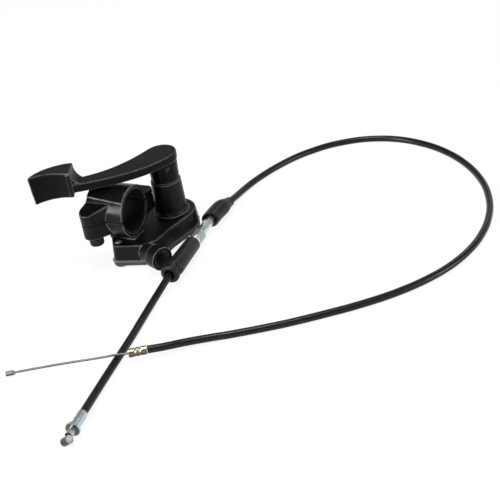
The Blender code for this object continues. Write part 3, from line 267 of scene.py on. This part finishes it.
def turned(name, profile, start, direction, steps, *materials, angle=35.0, first=None):
    """A profile turned about a line and closed on itself.

    Each of its points is a radius, or a reach by angle, with a distance along the line. First is the
    direction that the turning starts from.
    """
    bm = bmesh.new()
    start, direction = Vector(start), Vector(direction).normalized()
    side = direction.orthogonal().normalized()
    if first is not None:
        side = (Vector(first) - direction * direction.dot(Vector(first))).normalized()
    up = direction.cross(side)
    rings = []
    for radius, along in profile:
        middle = start + direction * along
        if radius == 0:
            rings.append([bm.verts.new(middle)])
            continue
        ring = []
        for k in range(steps):
            turn = 2 * math.pi * k / steps
            reach = radius(turn) if callable(radius) else radius
            ring.append(bm.verts.new(middle + (side * math.cos(turn) + up * math.sin(turn)) * reach))
        rings.append(ring)
    loop = list(zip(rings, rings[1:]))
    if len(rings[0]) > 1:
        loop.append((rings[-1], rings[0]))
    for low, high in loop:
        for k in range(steps):
            if len(low) == 1:
                bm.faces.new((low[0], high[k], high[k - 1]))
            elif len(high) == 1:
                bm.faces.new((low[k - 1], low[k], high[0]))
            else:
                bm.faces.new((low[k - 1], low[k], high[k], high[k - 1]))
    return finished(name, bm, *materials, angle=angle)


# Finishes

def new_material(name):
    """A material, its nodes, its links and its shader."""
    material = bpy.data.materials.new(name)
    material.use_nodes = True
    nodes = material.node_tree.nodes
    return material, nodes, material.node_tree.links, nodes["Principled BSDF"]


def noise(nodes, links, scale, detail, vector):
    """A value that drifts around a half."""
    node = nodes.new("ShaderNodeTexNoise")
    node.inputs["Scale"].default_value = scale
    node.inputs["Detail"].default_value = detail
    links.new(vector, node.inputs["Vector"])
    return node.outputs["Fac"]


def ramp(nodes, links, value, low, high, first, last):
    """Two tones of a value between two limits."""
    node = nodes.new("ShaderNodeMapRange")
    node.inputs["From Min"].default_value = low
    node.inputs["From Max"].default_value = high
    node.inputs["To Min"].default_value = first
    node.inputs["To Max"].default_value = last
    links.new(value, node.inputs["Value"])
    return node.outputs["Result"]


def mixed(nodes, links, share, first, last):
    """A colour between two, by a share."""
    node = nodes.new("ShaderNodeMix")
    node.data_type = "RGBA"
    links.new(share, node.inputs["Factor"])
    for value, socket in ((first, node.inputs["A"]), (last, node.inputs["B"])):
        if isinstance(value, tuple):
            socket.default_value = (*value, 1.0)
        else:
            links.new(value, socket)
    return node.outputs["Result"]


def math_node(nodes, links, operation, first, second=0.0, clamp=False):
    """What an operation makes of two values, each a number or a socket."""
    node = nodes.new("ShaderNodeMath")
    node.operation = operation
    node.use_clamp = clamp
    for i, value in enumerate((first, second)):
        if isinstance(value, (int, float)):
            node.inputs[i].default_value = value
        else:
            links.new(value, node.inputs[i])
    return node.outputs[0]


def bump(nodes, links, height, strength, distance, normal=None):
    """A normal that a height has roughened."""
    node = nodes.new("ShaderNodeBump")
    node.inputs["Strength"].default_value = strength
    node.inputs["Distance"].default_value = distance
    links.new(height, node.inputs["Height"])
    if normal is not None:
        links.new(normal, node.inputs["Normal"])
    return node.outputs["Normal"]


def place(nodes):
    """Where a point is, in the object's own frame."""
    return nodes.new("ShaderNodeTexCoord").outputs["Object"]


def distance_to(nodes, links, where, point):
    """How far a place is from a point."""
    node = nodes.new("ShaderNodeVectorMath")
    node.operation = "DISTANCE"
    links.new(where, node.inputs[0])
    node.inputs[1].default_value = point
    return node.outputs["Value"]


def edge_mask(nodes, links, radius):
    """A softened normal for an edge, and how near the edge a point is."""
    soft = nodes.new("ShaderNodeBevel")
    soft.samples = 6
    soft.inputs["Radius"].default_value = radius
    true = nodes.new("ShaderNodeNewGeometry")
    dot = nodes.new("ShaderNodeVectorMath")
    dot.operation = "DOT_PRODUCT"
    links.new(soft.outputs["Normal"], dot.inputs[0])
    links.new(true.outputs["Normal"], dot.inputs[1])
    return soft.outputs["Normal"], ramp(nodes, links, dot.outputs["Value"], 0.99, 0.88, 0.0, 1.0)


def cast_paint(name, tone, edge, roughness, grain=0.25, round_edge=0.8 * MM, gloss_level=0.2,
               seam=None, dimple=None, bore=False, plain_edge_point=None, bend=1.5):
    """Semi-gloss black paint over a sand casting: fine grain, slow waves, and paler edges in patches,
    which are partly wear and partly a painted highlight.

    A seam is a height where two halves meet, whose edges stay black, without the pale wear and
    painted highlight. A dimple is a point with a moulded dent. A bore is left dull inside, with little
    of the pale edge wear and painted highlight round its rim. The point for plain edges has neither
    the pale wear nor the painted highlight round it. Bend is the index of refraction.
    """
    material, nodes, links, shader = new_material(name)
    shader.inputs["Specular IOR Level"].default_value = gloss_level
    shader.inputs["IOR"].default_value = bend
    where = place(nodes)
    coarse = noise(nodes, links, 160.0, 3.0, where)
    fine = noise(nodes, links, 1900.0, 5.0, where)
    slow = noise(nodes, links, 45.0, 2.0, where)
    soft, mask = edge_mask(nodes, links, round_edge)
    patches = ramp(nodes, links, coarse, 0.35, 0.6, 0.5, 1.0)
    # The pale edges: a patchy share near each edge, partly wear and partly a painted highlight
    wear_and_highlight = math_node(nodes, links, "MULTIPLY", mask, patches, True)
    if plain_edge_point is not None:
        apart = distance_to(nodes, links, where, plain_edge_point)
        clear = ramp(nodes, links, apart, 2.0 * MM, 3.0 * MM, 0.0, 1.0)
        wear_and_highlight = math_node(nodes, links, "MULTIPLY", wear_and_highlight, clear)
    if seam is not None:
        height = nodes.new("ShaderNodeSeparateXYZ")
        links.new(where, height.inputs["Vector"])
        over = math_node(nodes, links, "SUBTRACT", height.outputs["Z"], seam)
        apart = math_node(nodes, links, "ABSOLUTE", over)
        clear = ramp(nodes, links, apart, 0.6 * MM, 1.3 * MM, 0.0, 1.0)
        wear_and_highlight = math_node(nodes, links, "MULTIPLY", wear_and_highlight, clear)
    tones = mixed(nodes, links, ramp(nodes, links, slow, 0.35, 0.65, 0.0, 1.0),
                  tuple(0.8 * part for part in tone), tuple(1.25 * part for part in tone))
    gloss = ramp(nodes, links, coarse, 0.3, 0.7, roughness - 0.07, roughness + 0.09)
    if bore:
        across = nodes.new("ShaderNodeVectorMath")
        across.operation = "MULTIPLY"
        links.new(where, across.inputs[0])
        across.inputs[1].default_value = (0, 1, 1)
        reach = distance_to(nodes, links, across.outputs["Vector"], (0, BAR_Y, SPLIT_HEIGHT))
        clear = ramp(nodes, links, reach, BAR_RADIUS + 0.2 * MM, BAR_RADIUS + 1.2 * MM, 0.1, 1.0)
        wear_and_highlight = math_node(nodes, links, "MULTIPLY", wear_and_highlight, clear)
        inside = ramp(nodes, links, reach, BAR_RADIUS + 0.1 * MM, BAR_RADIUS + 0.2 * MM, 0.45, 0.0)
        gloss = math_node(nodes, links, "ADD", gloss, inside)
    # The pale edge colour, partly wear and partly a painted highlight, is mixed over the paint's tones
    links.new(mixed(nodes, links, wear_and_highlight, tones, edge), shader.inputs["Base Color"])
    links.new(gloss, shader.inputs["Roughness"])
    height = math_node(nodes, links, "ADD", math_node(nodes, links, "MULTIPLY", coarse, 1.6), fine)
    if dimple is not None:
        apart = distance_to(nodes, links, where, dimple)
        dent = ramp(nodes, links, apart, 0.35 * MM, 1.1 * MM, -1.0, 0.0)
        soft = bump(nodes, links, dent, 1.0, 0.6 * MM, soft)
    links.new(bump(nodes, links, height, grain, 0.05 * MM, soft), shader.inputs["Normal"])
    return material


def rubber(name, tone, roughness=0.42, dust=0.12):
    """Moulded rubber: fine dull grain with a trace of pale dust."""
    material, nodes, links, shader = new_material(name)
    shader.inputs["Specular IOR Level"].default_value = 0.24
    where = place(nodes)
    coarse = noise(nodes, links, 220.0, 4.0, where)
    fine = noise(nodes, links, 2600.0, 3.0, where)
    share = ramp(nodes, links, coarse, 0.42, 0.72, 0.0, dust)
    pale = tuple(min(1.0, part * 2.6 + 0.02) for part in tone)
    links.new(mixed(nodes, links, share, tone, pale), shader.inputs["Base Color"])
    links.new(ramp(nodes, links, fine, 0.3, 0.7, roughness - 0.06, roughness + 0.1),
              shader.inputs["Roughness"])
    soft, _ = edge_mask(nodes, links, 0.3 * MM)
    links.new(bump(nodes, links, fine, 0.3, 0.03 * MM, soft), shader.inputs["Normal"])
    return material


def vinyl(name, tone):
    """Extruded sheath: smooth and even, with faint scuffs."""
    material, nodes, links, shader = new_material(name)
    shader.inputs["Specular IOR Level"].default_value = 0.26
    where = place(nodes)
    scuff = noise(nodes, links, 320.0, 6.0, where)
    slow = noise(nodes, links, 60.0, 2.0, where)
    share = ramp(nodes, links, scuff, 0.55, 0.75, 0.0, 0.4)
    links.new(mixed(nodes, links, share, tone, tuple(part * 2.2 + 0.015 for part in tone)),
              shader.inputs["Base Color"])
    links.new(ramp(nodes, links, slow, 0.3, 0.7, 0.26, 0.36), shader.inputs["Roughness"])
    links.new(bump(nodes, links, scuff, 0.12, 0.03 * MM), shader.inputs["Normal"])
    return material


def plated(name, tone, grime_and_shade_tone, roughness, grime=0.5, grain=0.15, painted_shade_side=None):
    """Plated metal: brushed a little, duller in grime patches, with painted shade on the side away from the
    light.
    """
    material, nodes, links, shader = new_material(name)
    shader.inputs["Metallic"].default_value = 1.0
    where = place(nodes)
    patch = noise(nodes, links, 420.0, 4.0, where)
    fine = noise(nodes, links, 3200.0, 2.0, where)
    share = ramp(nodes, links, patch, 0.45, 0.72, 0.0, grime)
    # Painted shade: faces turned towards the given side take the dark tone
    if painted_shade_side is not None:
        facing = nodes.new("ShaderNodeVectorMath")
        facing.operation = "DOT_PRODUCT"
        links.new(nodes.new("ShaderNodeNewGeometry").outputs["Normal"], facing.inputs[0])
        facing.inputs[1].default_value = painted_shade_side
        painted_shade = ramp(nodes, links, facing.outputs["Value"], -0.15, 0.55, 0.0, 0.95)
        share = math_node(nodes, links, "MAXIMUM", share, painted_shade)
    # The dark tone comes in with the grime patches and with the painted shade
    links.new(mixed(nodes, links, share, tone, grime_and_shade_tone), shader.inputs["Base Color"])
    links.new(ramp(nodes, links, patch, 0.3, 0.75, roughness - 0.06, roughness + 0.16),
              shader.inputs["Roughness"])
    soft, _ = edge_mask(nodes, links, 0.12 * MM)
    links.new(bump(nodes, links, fine, grain, 0.02 * MM, soft), shader.inputs["Normal"])
    return material


# Each paint's second colour is its pale edges, partly wear and partly a painted highlight
BODY = cast_paint("cast_body_paint", (0.0026, 0.0028, 0.0023), (0.3, 0.3, 0.28), roughness=0.33,
                  gloss_level=0.15, seam=SPLIT_HEIGHT, bore=True)
LEVER = cast_paint("cast_lever_paint", (0.0022, 0.0025, 0.0025), (0.25, 0.25, 0.24), roughness=0.3,
                   gloss_level=0.3, bend=1.25, dimple=PADDLE_DIMPLE, plain_edge_point=PIN_END)
CAP = cast_paint("cast_cap_paint", (0.0024, 0.0026, 0.0024), (0.25, 0.25, 0.24), roughness=0.23,
                 gloss_level=0.16, seam=SPLIT_HEIGHT, bore=True)
COVER = cast_paint("cover_plate_paint", (0.04, 0.04, 0.035), (0.24, 0.24, 0.21), roughness=0.5)
BOLT = cast_paint("black_oxide", (0.0035, 0.0035, 0.0033), (0.06, 0.058, 0.053), roughness=0.38,
                  grain=0.12, round_edge=0.25 * MM, gloss_level=0.15)
PIN = cast_paint("pin_steel", (0.022, 0.022, 0.02), (0.03, 0.03, 0.028), roughness=0.4, grain=0.1)
BOOT = rubber("boot_rubber", (0.0055, 0.0055, 0.005))
SHEATH = vinyl("sheath_vinyl", (0.004, 0.004, 0.0037))
ZINC = plated("bright_zinc", (0.68, 0.75, 0.75), (0.46, 0.52, 0.52), roughness=0.3, grime=0.3,
              grain=0.03)
NUT_ZINC = plated("dull_zinc", (0.42, 0.47, 0.48), (0.2, 0.24, 0.25), roughness=0.3, grime=0.6,
                  grain=0.05)
# Each of these finishes has painted shade on the side that it is given, besides its grime patches
FERRULE_ZINC = plated("ferrule_zinc", (0.52, 0.6, 0.63), (0.1, 0.095, 0.085), roughness=0.28,
                      grain=0.05, painted_shade_side=(-0.8, -0.9, -0.3))
BARREL = plated("barrel_grime_and_painted_shade", (0.34, 0.34, 0.32), (0.05, 0.04, 0.035), roughness=0.4, grain=0.05,
                painted_shade_side=(-0.75, -0.5, -0.3))
DULL_STEEL = plated("dull_steel", (0.6, 0.6, 0.58), (0.34, 0.33, 0.3), roughness=0.46)
NIPPLE = plated("nipple_steel", (0.3, 0.3, 0.29), (0.08, 0.08, 0.075), roughness=0.4, grain=0.05,
                painted_shade_side=(0, -0.6, -0.8))
STRAND = plated("strand_steel", (0.27, 0.26, 0.245), (0.07, 0.065, 0.06), roughness=0.4, grime=0.6,
                grain=0.05, painted_shade_side=(0.2, -0.6, -0.7))
NICKEL = plated("nickel_grime_and_painted_shade", (0.46, 0.42, 0.33), (0.1, 0.085, 0.05), roughness=0.3, grain=0.05,
                painted_shade_side=(0.3, -0.6, -0.6))
BRONZE = plated("bush_bronze", (0.6, 0.42, 0.22), (0.34, 0.22, 0.12), roughness=0.42)

NODE_FINISH = {
    "body_casting": BODY, "clamp_cap": CAP, "clamp_bolt_front": BOLT, "clamp_bolt_rear": BOLT,
    "bottom_cover": COVER, "cover_screw_1": DULL_STEEL, "cover_screw_2": DULL_STEEL,
    "cover_screw_3": DULL_STEEL, "thumb_lever": LEVER, "lever_shaft": DULL_STEEL,
    "lever_cross_pin": PIN, "cable_pull_arm": DULL_STEEL, "shaft_nut": DULL_STEEL,
    "shaft_bush_upper": BRONZE, "shaft_bush_lower": BRONZE, "return_spring": DULL_STEEL,
    "lock_nut": NUT_ZINC, "adjuster": ZINC, "adjuster_screw": ZINC, "lower_boot": BOOT, "upper_boot": BOOT,
    "lower_sheath": SHEATH, "upper_sheath": SHEATH, "inner_wire": STRAND,
    "lever_end_ferrule": FERRULE_ZINC, "barrel_nipple": BARREL, "carburettor_ferrule": NICKEL,
    "carburettor_nipple": NIPPLE,
}
for node, finish in NODE_FINISH.items():
    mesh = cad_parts[node].data
    mesh.materials.clear()
    mesh.materials.append(finish)


# The cable

def lower_boot_piece():
    """The straight boot with its collar, smoother than the solid and with softly rounded lips."""
    hole, room = 2.6 * MM, BOOT_RADIUS - 1.1 * MM
    length, collar, thick = BOOT_LENGTH, 2.7 * MM, 5.0 * MM
    neck, widest, shoulder, groove = 3.0 * MM, BOOT_RADIUS + 0.55 * MM, 3.2 * MM, 1.5 * MM
    round_top, round_end, steps = 0.6 * MM, 1.2 * MM, 5
    profile = [(room, length - 0.1 * MM), (room + 0.25 * MM, length), (BOOT_RADIUS - 0.35 * MM, length),
               (BOOT_RADIUS - 0.1 * MM, length - 0.12 * MM), (BOOT_RADIUS + 0.05 * MM, length - 0.45 * MM)]
    for share in (1.0, 0.9, 0.75, 0.55, 0.3, 0.0):
        profile.append((neck + (widest - neck) * math.sin(math.pi / 2 * share) ** 0.8,
                        collar + groove + shoulder * share))
    profile += [(neck, collar + 0.1 * MM), (neck + 0.1 * MM, collar), (thick - round_top, collar)]
    for step in range(1, steps + 1):
        angle = math.pi / 2 * step / steps
        profile.append((thick - round_top * (1 - math.sin(angle)),
                        collar - round_top * (1 - math.cos(angle))))
    for step in range(0, steps + 1):
        angle = math.pi / 2 * step / steps
        profile.append((thick - round_end * (1 - math.cos(angle)), round_end * (1 - math.sin(angle))))
    profile += [(hole + 0.6 * MM, 0.02 * MM), (hole + 0.15 * MM, 0.15 * MM), (hole, 0.6 * MM),
                (hole, collar + 4.5 * MM), (room, collar + 7.0 * MM)]
    return turned("lower_boot_skin", profile, LINE_START, LINE, 64, BOOT, angle=60)


def upper_boot_piece():
    """The boot that has split at its mouth and gapes over the adjuster."""
    widest, count = 4.45 * MM, 144
    route = smooth_path(UPPER_BOOT_ROUTE, 0.8 * MM)
    total = length_of(route)
    bm = bmesh.new()
    walked, outer_rings, inner_rings = 0.0, [], []
    tear_side = (TEAR_SIDE - LINE * TEAR_SIDE.dot(LINE)).normalized()
    for i, (point, side, up) in enumerate(frames_along(route)):
        if i:
            walked += (route[i] - route[i - 1]).length
        share = walked / total
        shoulder = max(0.0, (share - 0.62) / 0.38)
        reach = widest * (1 - 0.40 * shoulder * shoulder * (3 - 2 * shoulder))
        inside = max(reach - (1.0 - 0.25 * share) * MM, SHEATH_RADIUS + 0.05 * MM)
        ring, inner = [], []
        for k in range(count):
            angle = 2 * math.pi * k / count
            ray = side * math.cos(angle) + up * math.sin(angle)
            # The mouth is cut askew and has torn into a point on the side that faces the camera
            near = ray.dot(tear_side)
            ragged = 0.14 * math.sin(7 * angle) + 0.1 * math.sin(17 * angle + 1)
            pull = -2.2 - 0.9 * near + 5.2 * math.exp(-((1 - near) / 0.014) ** 2) + ragged
            stretch = LINE * (-pull * MM * max(0.0, 1 - share / 0.3) ** 2)
            wide = reach * (1 + 0.06 * ray.x * ray.x)
            ring.append(bm.verts.new(point + ray * wide + stretch))
            inner.append(bm.verts.new(point + ray * inside + stretch))
        outer_rings.append(ring)
        inner_rings.append(inner)
    for rings, flip in ((outer_rings, False), (inner_rings, True)):
        for low, high in zip(rings, rings[1:]):
            for k in range(count):
                corners = (low[k - 1], low[k], high[k], high[k - 1])
                bm.faces.new(corners[::-1] if flip else corners)
    for k in range(count):
        outer, inner = outer_rings[0], inner_rings[0]
        bm.faces.new((outer[k], outer[k - 1], inner[k - 1], inner[k]))
        outer, inner = outer_rings[-1], inner_rings[-1]
        bm.faces.new((outer[k - 1], outer[k], inner[k], inner[k - 1]))
    return finished("upper_boot_skin", bm, BOOT, angle=60)


def sheath_piece(name, route):
    """A stretch of sheath, and the path that it follows."""
    path = smooth_path(route, 1.6 * MM)
    bm = bmesh.new()
    sweep(bm, path, Round(SHEATH_RADIUS, 24))
    return finished(name, bm, SHEATH, angle=50), path


def wire_piece():
    """The bare wire as twisted strands, just inside its plain solid, and the path that it follows."""
    step = 0.22 * MM
    path = smooth_path(WIRE_ROUTE, step)
    bm = bmesh.new()
    sweep(bm, path, Strands(0.92 * WIRE_RADIUS, lobes=7, lay=4.2 * MM, step=step, count=42))
    return finished("inner_wire_strands", bm, STRAND, angle=60), path


def lock_nut_piece():
    """A hexagon nut with both ends chamfered."""
    start = LINE_START + LINE * NUT_PLACE
    limit, hole, soft = NUT_ACROSS * 0.553, 2.05 * MM, 0.35 * MM
    end, shoulder, corner = (hexagon(NUT_ACROSS, reach)
                             for reach in (NUT_ACROSS * 0.49, limit - 0.1 * MM, limit))
    profile = [(hole + soft, 0.0), (end, 0.0), (shoulder, 0.45 * MM), (corner, 0.62 * MM),
               (corner, NUT_LENGTH - 0.62 * MM), (shoulder, NUT_LENGTH - 0.45 * MM), (end, NUT_LENGTH),
               (hole + soft, NUT_LENGTH), (hole, NUT_LENGTH - soft), (hole, soft)]
    return turned("lock_nut_skin", profile, start, LINE, 120, NUT_ZINC, angle=22, first=NUT_RIDGE)


def adjuster_piece():
    """The long hexagon sleeve, with its ends turned down a little."""
    start = LINE_START + LINE * (NUT_PLACE + NUT_LENGTH + GAP)
    neck, hole = ADJUSTER_ACROSS * 0.48, 0.9 * MM
    end, corner = (hexagon(ADJUSTER_ACROSS, ADJUSTER_ACROSS * share) for share in (0.5, 0.572))
    profile = [(hole, 0.0), (ADJUSTER_ACROSS * 0.46, 0.0), (neck, 0.25 * MM), (neck, 0.7 * MM),
               (end, 0.75 * MM), (corner, 1.1 * MM), (corner, ADJUSTER_LENGTH - 0.5 * MM),
               (end, ADJUSTER_LENGTH), (hole, ADJUSTER_LENGTH)]
    return turned("adjuster_skin", profile, start, LINE, 120, ZINC, angle=22, first=SLEEVE_RIDGE)


def bolt_piece(name, node, up, head, height):
    """A socket-head bolt with a knurled head, where its plain solid stands. Up is 1 or -1."""
    diameter, socket = 5.0 * MM, 4.0 * MM
    low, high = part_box(node)
    middle = (Vector(low) + Vector(high)) / 2
    length = high[2] - low[2]
    top = Vector((middle.x, middle.y, high[2] if up > 0 else low[2]))
    edge, sole = 0.5 * MM, 0.25 * MM
    grip = knurled(head / 2, 0.14 * MM, 36)
    recess = hexagon(socket, socket)
    profile = [(0, 1.9 * MM), (recess, 1.7 * MM), (recess, 0.15 * MM), (socket * 0.62, 0.0),
               (head / 2 - edge, 0.0), (head / 2 - 0.15 * MM, 0.22 * MM), (grip, edge + 0.1 * MM),
               (grip, height - sole - 0.1 * MM), (head / 2 - 0.12 * MM, height - sole),
               (head / 2 - 0.2 * MM, height), (diameter / 2, height)]
    turns = int((length - height - 0.6 * MM) / THREAD_PITCH)
    for i in range(turns):
        along = height + 0.3 * MM + i * THREAD_PITCH
        profile += [(diameter / 2, along), (diameter / 2 - 0.3 * MM, along + THREAD_PITCH / 2)]
    profile += [(diameter / 2 - 0.1 * MM, length - 0.3 * MM), (diameter / 2 - 0.5 * MM, length), (0, length)]
    return turned(name, profile, top, (0, 0, -up), 144, BOLT, angle=30)


def port_thread_piece():
    """The tapped thread inside the cable port, as rings of fine crests."""
    out = Vector((math.cos(PORT_ANGLE), math.sin(PORT_ANGLE), 0))
    start = PORT_MOUTH - out * 1.5 * MM
    wall, crest, pitch, crests = 3.79 * MM, 3.45 * MM, 1.0 * MM, 7
    profile = [(wall, 0.0)]
    for i in range(crests):
        profile += [(crest, pitch * (i + 0.45)), (crest, pitch * (i + 0.6)),
                    (wall - 0.02 * MM, pitch * (i + 1.0))]
    profile += [(wall, (crests + 0.05) * pitch)]
    return turned("port_thread_crests", profile, start, -out, 64, BODY, angle=20)


lower_skin = lower_boot_piece()
upper_skin = upper_boot_piece()
lower_sheath, lower_path = sheath_piece("lower_sheath_skin", LOWER_ROUTE)
upper_sheath, upper_path = sheath_piece("upper_sheath_skin", UPPER_ROUTE)
wire, wire_path = wire_piece()
nut_skin = lock_nut_piece()
adjuster_skin = adjuster_piece()
front_bolt = bolt_piece("front_bolt_skin", "clamp_bolt_front", up=-1, head=7.4 * MM, height=4.1 * MM)
rear_bolt = bolt_piece("rear_bolt_skin", "clamp_bolt_rear", up=1, head=6.6 * MM, height=2.4 * MM)
port_thread = port_thread_piece()
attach(port_thread, "housing")
for piece, node, slot in (
    (nut_skin, "lock_nut", "zinc"), (adjuster_skin, "adjuster", "zinc"),
    (front_bolt, "clamp_bolt_front", "black_bolt"), (rear_bolt, "clamp_bolt_rear", "black_bolt"),
    (lower_skin, "lower_boot", "rubber"), (upper_skin, "upper_boot", "rubber"),
    (lower_sheath, "lower_sheath", "sheath"), (upper_sheath, "upper_sheath", "sheath"),
    (wire, "inner_wire", "strand"),
):
    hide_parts(node)
    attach(piece, "housing")


# The white table, and the light

def add_table():
    """A white table, with the object's shadow on it."""
    bm = bmesh.new()
    bmesh.ops.create_grid(bm, x_segments=1, y_segments=1, size=4.0)
    bmesh.ops.translate(bm, verts=bm.verts, vec=(0, 0, -TABLE_DROP))
    material, nodes, links, shader = new_material("white_table")
    shader.inputs["Base Color"].default_value = (0.95, 0.95, 0.95, 1)
    shader.inputs["Roughness"].default_value = 0.9
    glow = nodes.new("ShaderNodeEmission")
    glow.inputs["Color"].default_value = (1, 1, 1, 1)
    rays = nodes.new("ShaderNodeLightPath")
    seen = math_node(nodes, links, "MAXIMUM", rays.outputs["Is Camera Ray"], rays.outputs["Is Glossy Ray"])
    seen = math_node(nodes, links, "MAXIMUM", seen, rays.outputs["Is Transmission Ray"])
    # The shadow is kept near the object, and the far table is as white as the backdrop
    apart = distance_to(nodes, links, place(nodes), TABLE_MIDDLE)
    white = ramp(nodes, links, apart, SHADOW_NEAR, SHADOW_FAR, 0.86, 1.0)
    share = math_node(nodes, links, "MULTIPLY", seen, white)
    blend = nodes.new("ShaderNodeMixShader")
    links.new(share, blend.inputs["Fac"])
    links.new(shader.outputs["BSDF"], blend.inputs[1])
    links.new(glow.outputs["Emission"], blend.inputs[2])
    links.new(blend.outputs["Shader"], nodes["Material Output"].inputs["Surface"])
    table = finished("table", bm, material)


def add_lamp(name, location, target, size, power):
    """A flat lamp that points at a target."""
    data = bpy.data.lights.new(name, "AREA")
    data.shape = "RECTANGLE"
    data.size, data.size_y = size
    data.energy = power
    lamp = bpy.data.objects.new(name, data)
    aim = Vector(target) - Vector(location)
    lamp.matrix_world = Matrix.Translation(location) @ aim.to_track_quat("-Z", "Y").to_matrix().to_4x4()
    SCENE.collection.objects.link(lamp)


def add_light():
    """The white backdrop with a dim ceiling, and the lamps."""
    world = bpy.data.worlds.new("studio")
    SCENE.world = world
    world.use_nodes = True
    nodes, links = world.node_tree.nodes, world.node_tree.links
    background = nodes["Background"]
    rays = nodes.new("ShaderNodeLightPath")
    # The backdrop is white where the camera, metal or clear pieces see it, and the ceiling above it is dim
    seen = math_node(nodes, links, "MAXIMUM", rays.outputs["Is Glossy Ray"],
                     rays.outputs["Is Transmission Ray"])
    height = nodes.new("ShaderNodeSeparateXYZ")
    links.new(nodes.new("ShaderNodeTexCoord").outputs["Generated"], height.inputs["Vector"])
    backdrop = ramp(nodes, links, height.outputs["Z"], BACKDROP_LOW, BACKDROP_HIGH, 1.0, CEILING)
    level = math_node(nodes, links, "MULTIPLY", seen, math_node(nodes, links, "SUBTRACT", backdrop, CEILING))
    level = math_node(nodes, links, "ADD", level, CEILING)
    level = math_node(nodes, links, "MAXIMUM", level, rays.outputs["Is Camera Ray"])
    background.inputs["Color"].default_value = (1, 1, 1, 1)
    links.new(level, background.inputs["Strength"])
    add_lamp("overhead", (0.05, -0.05, 1.05), (0.05, -0.02, 0.0), (0.4, 0.4), 7.0)
    add_lamp("front_left", (-0.44, -0.89, 0.47), (-0.01, -0.03, 0.03), (0.34, 0.56), 14.0)
    add_lamp("right", (1.0, 0.12, 0.3), (0.05, -0.02, 0.01), (0.35, 0.35), 4.0)
    add_lamp("back", (0.1, 0.76, 0.62), (0.02, -0.02, 0.0), (0.22, 0.22), 0.9)


add_table()
add_light()
SCENE.view_settings.view_transform = "Standard"
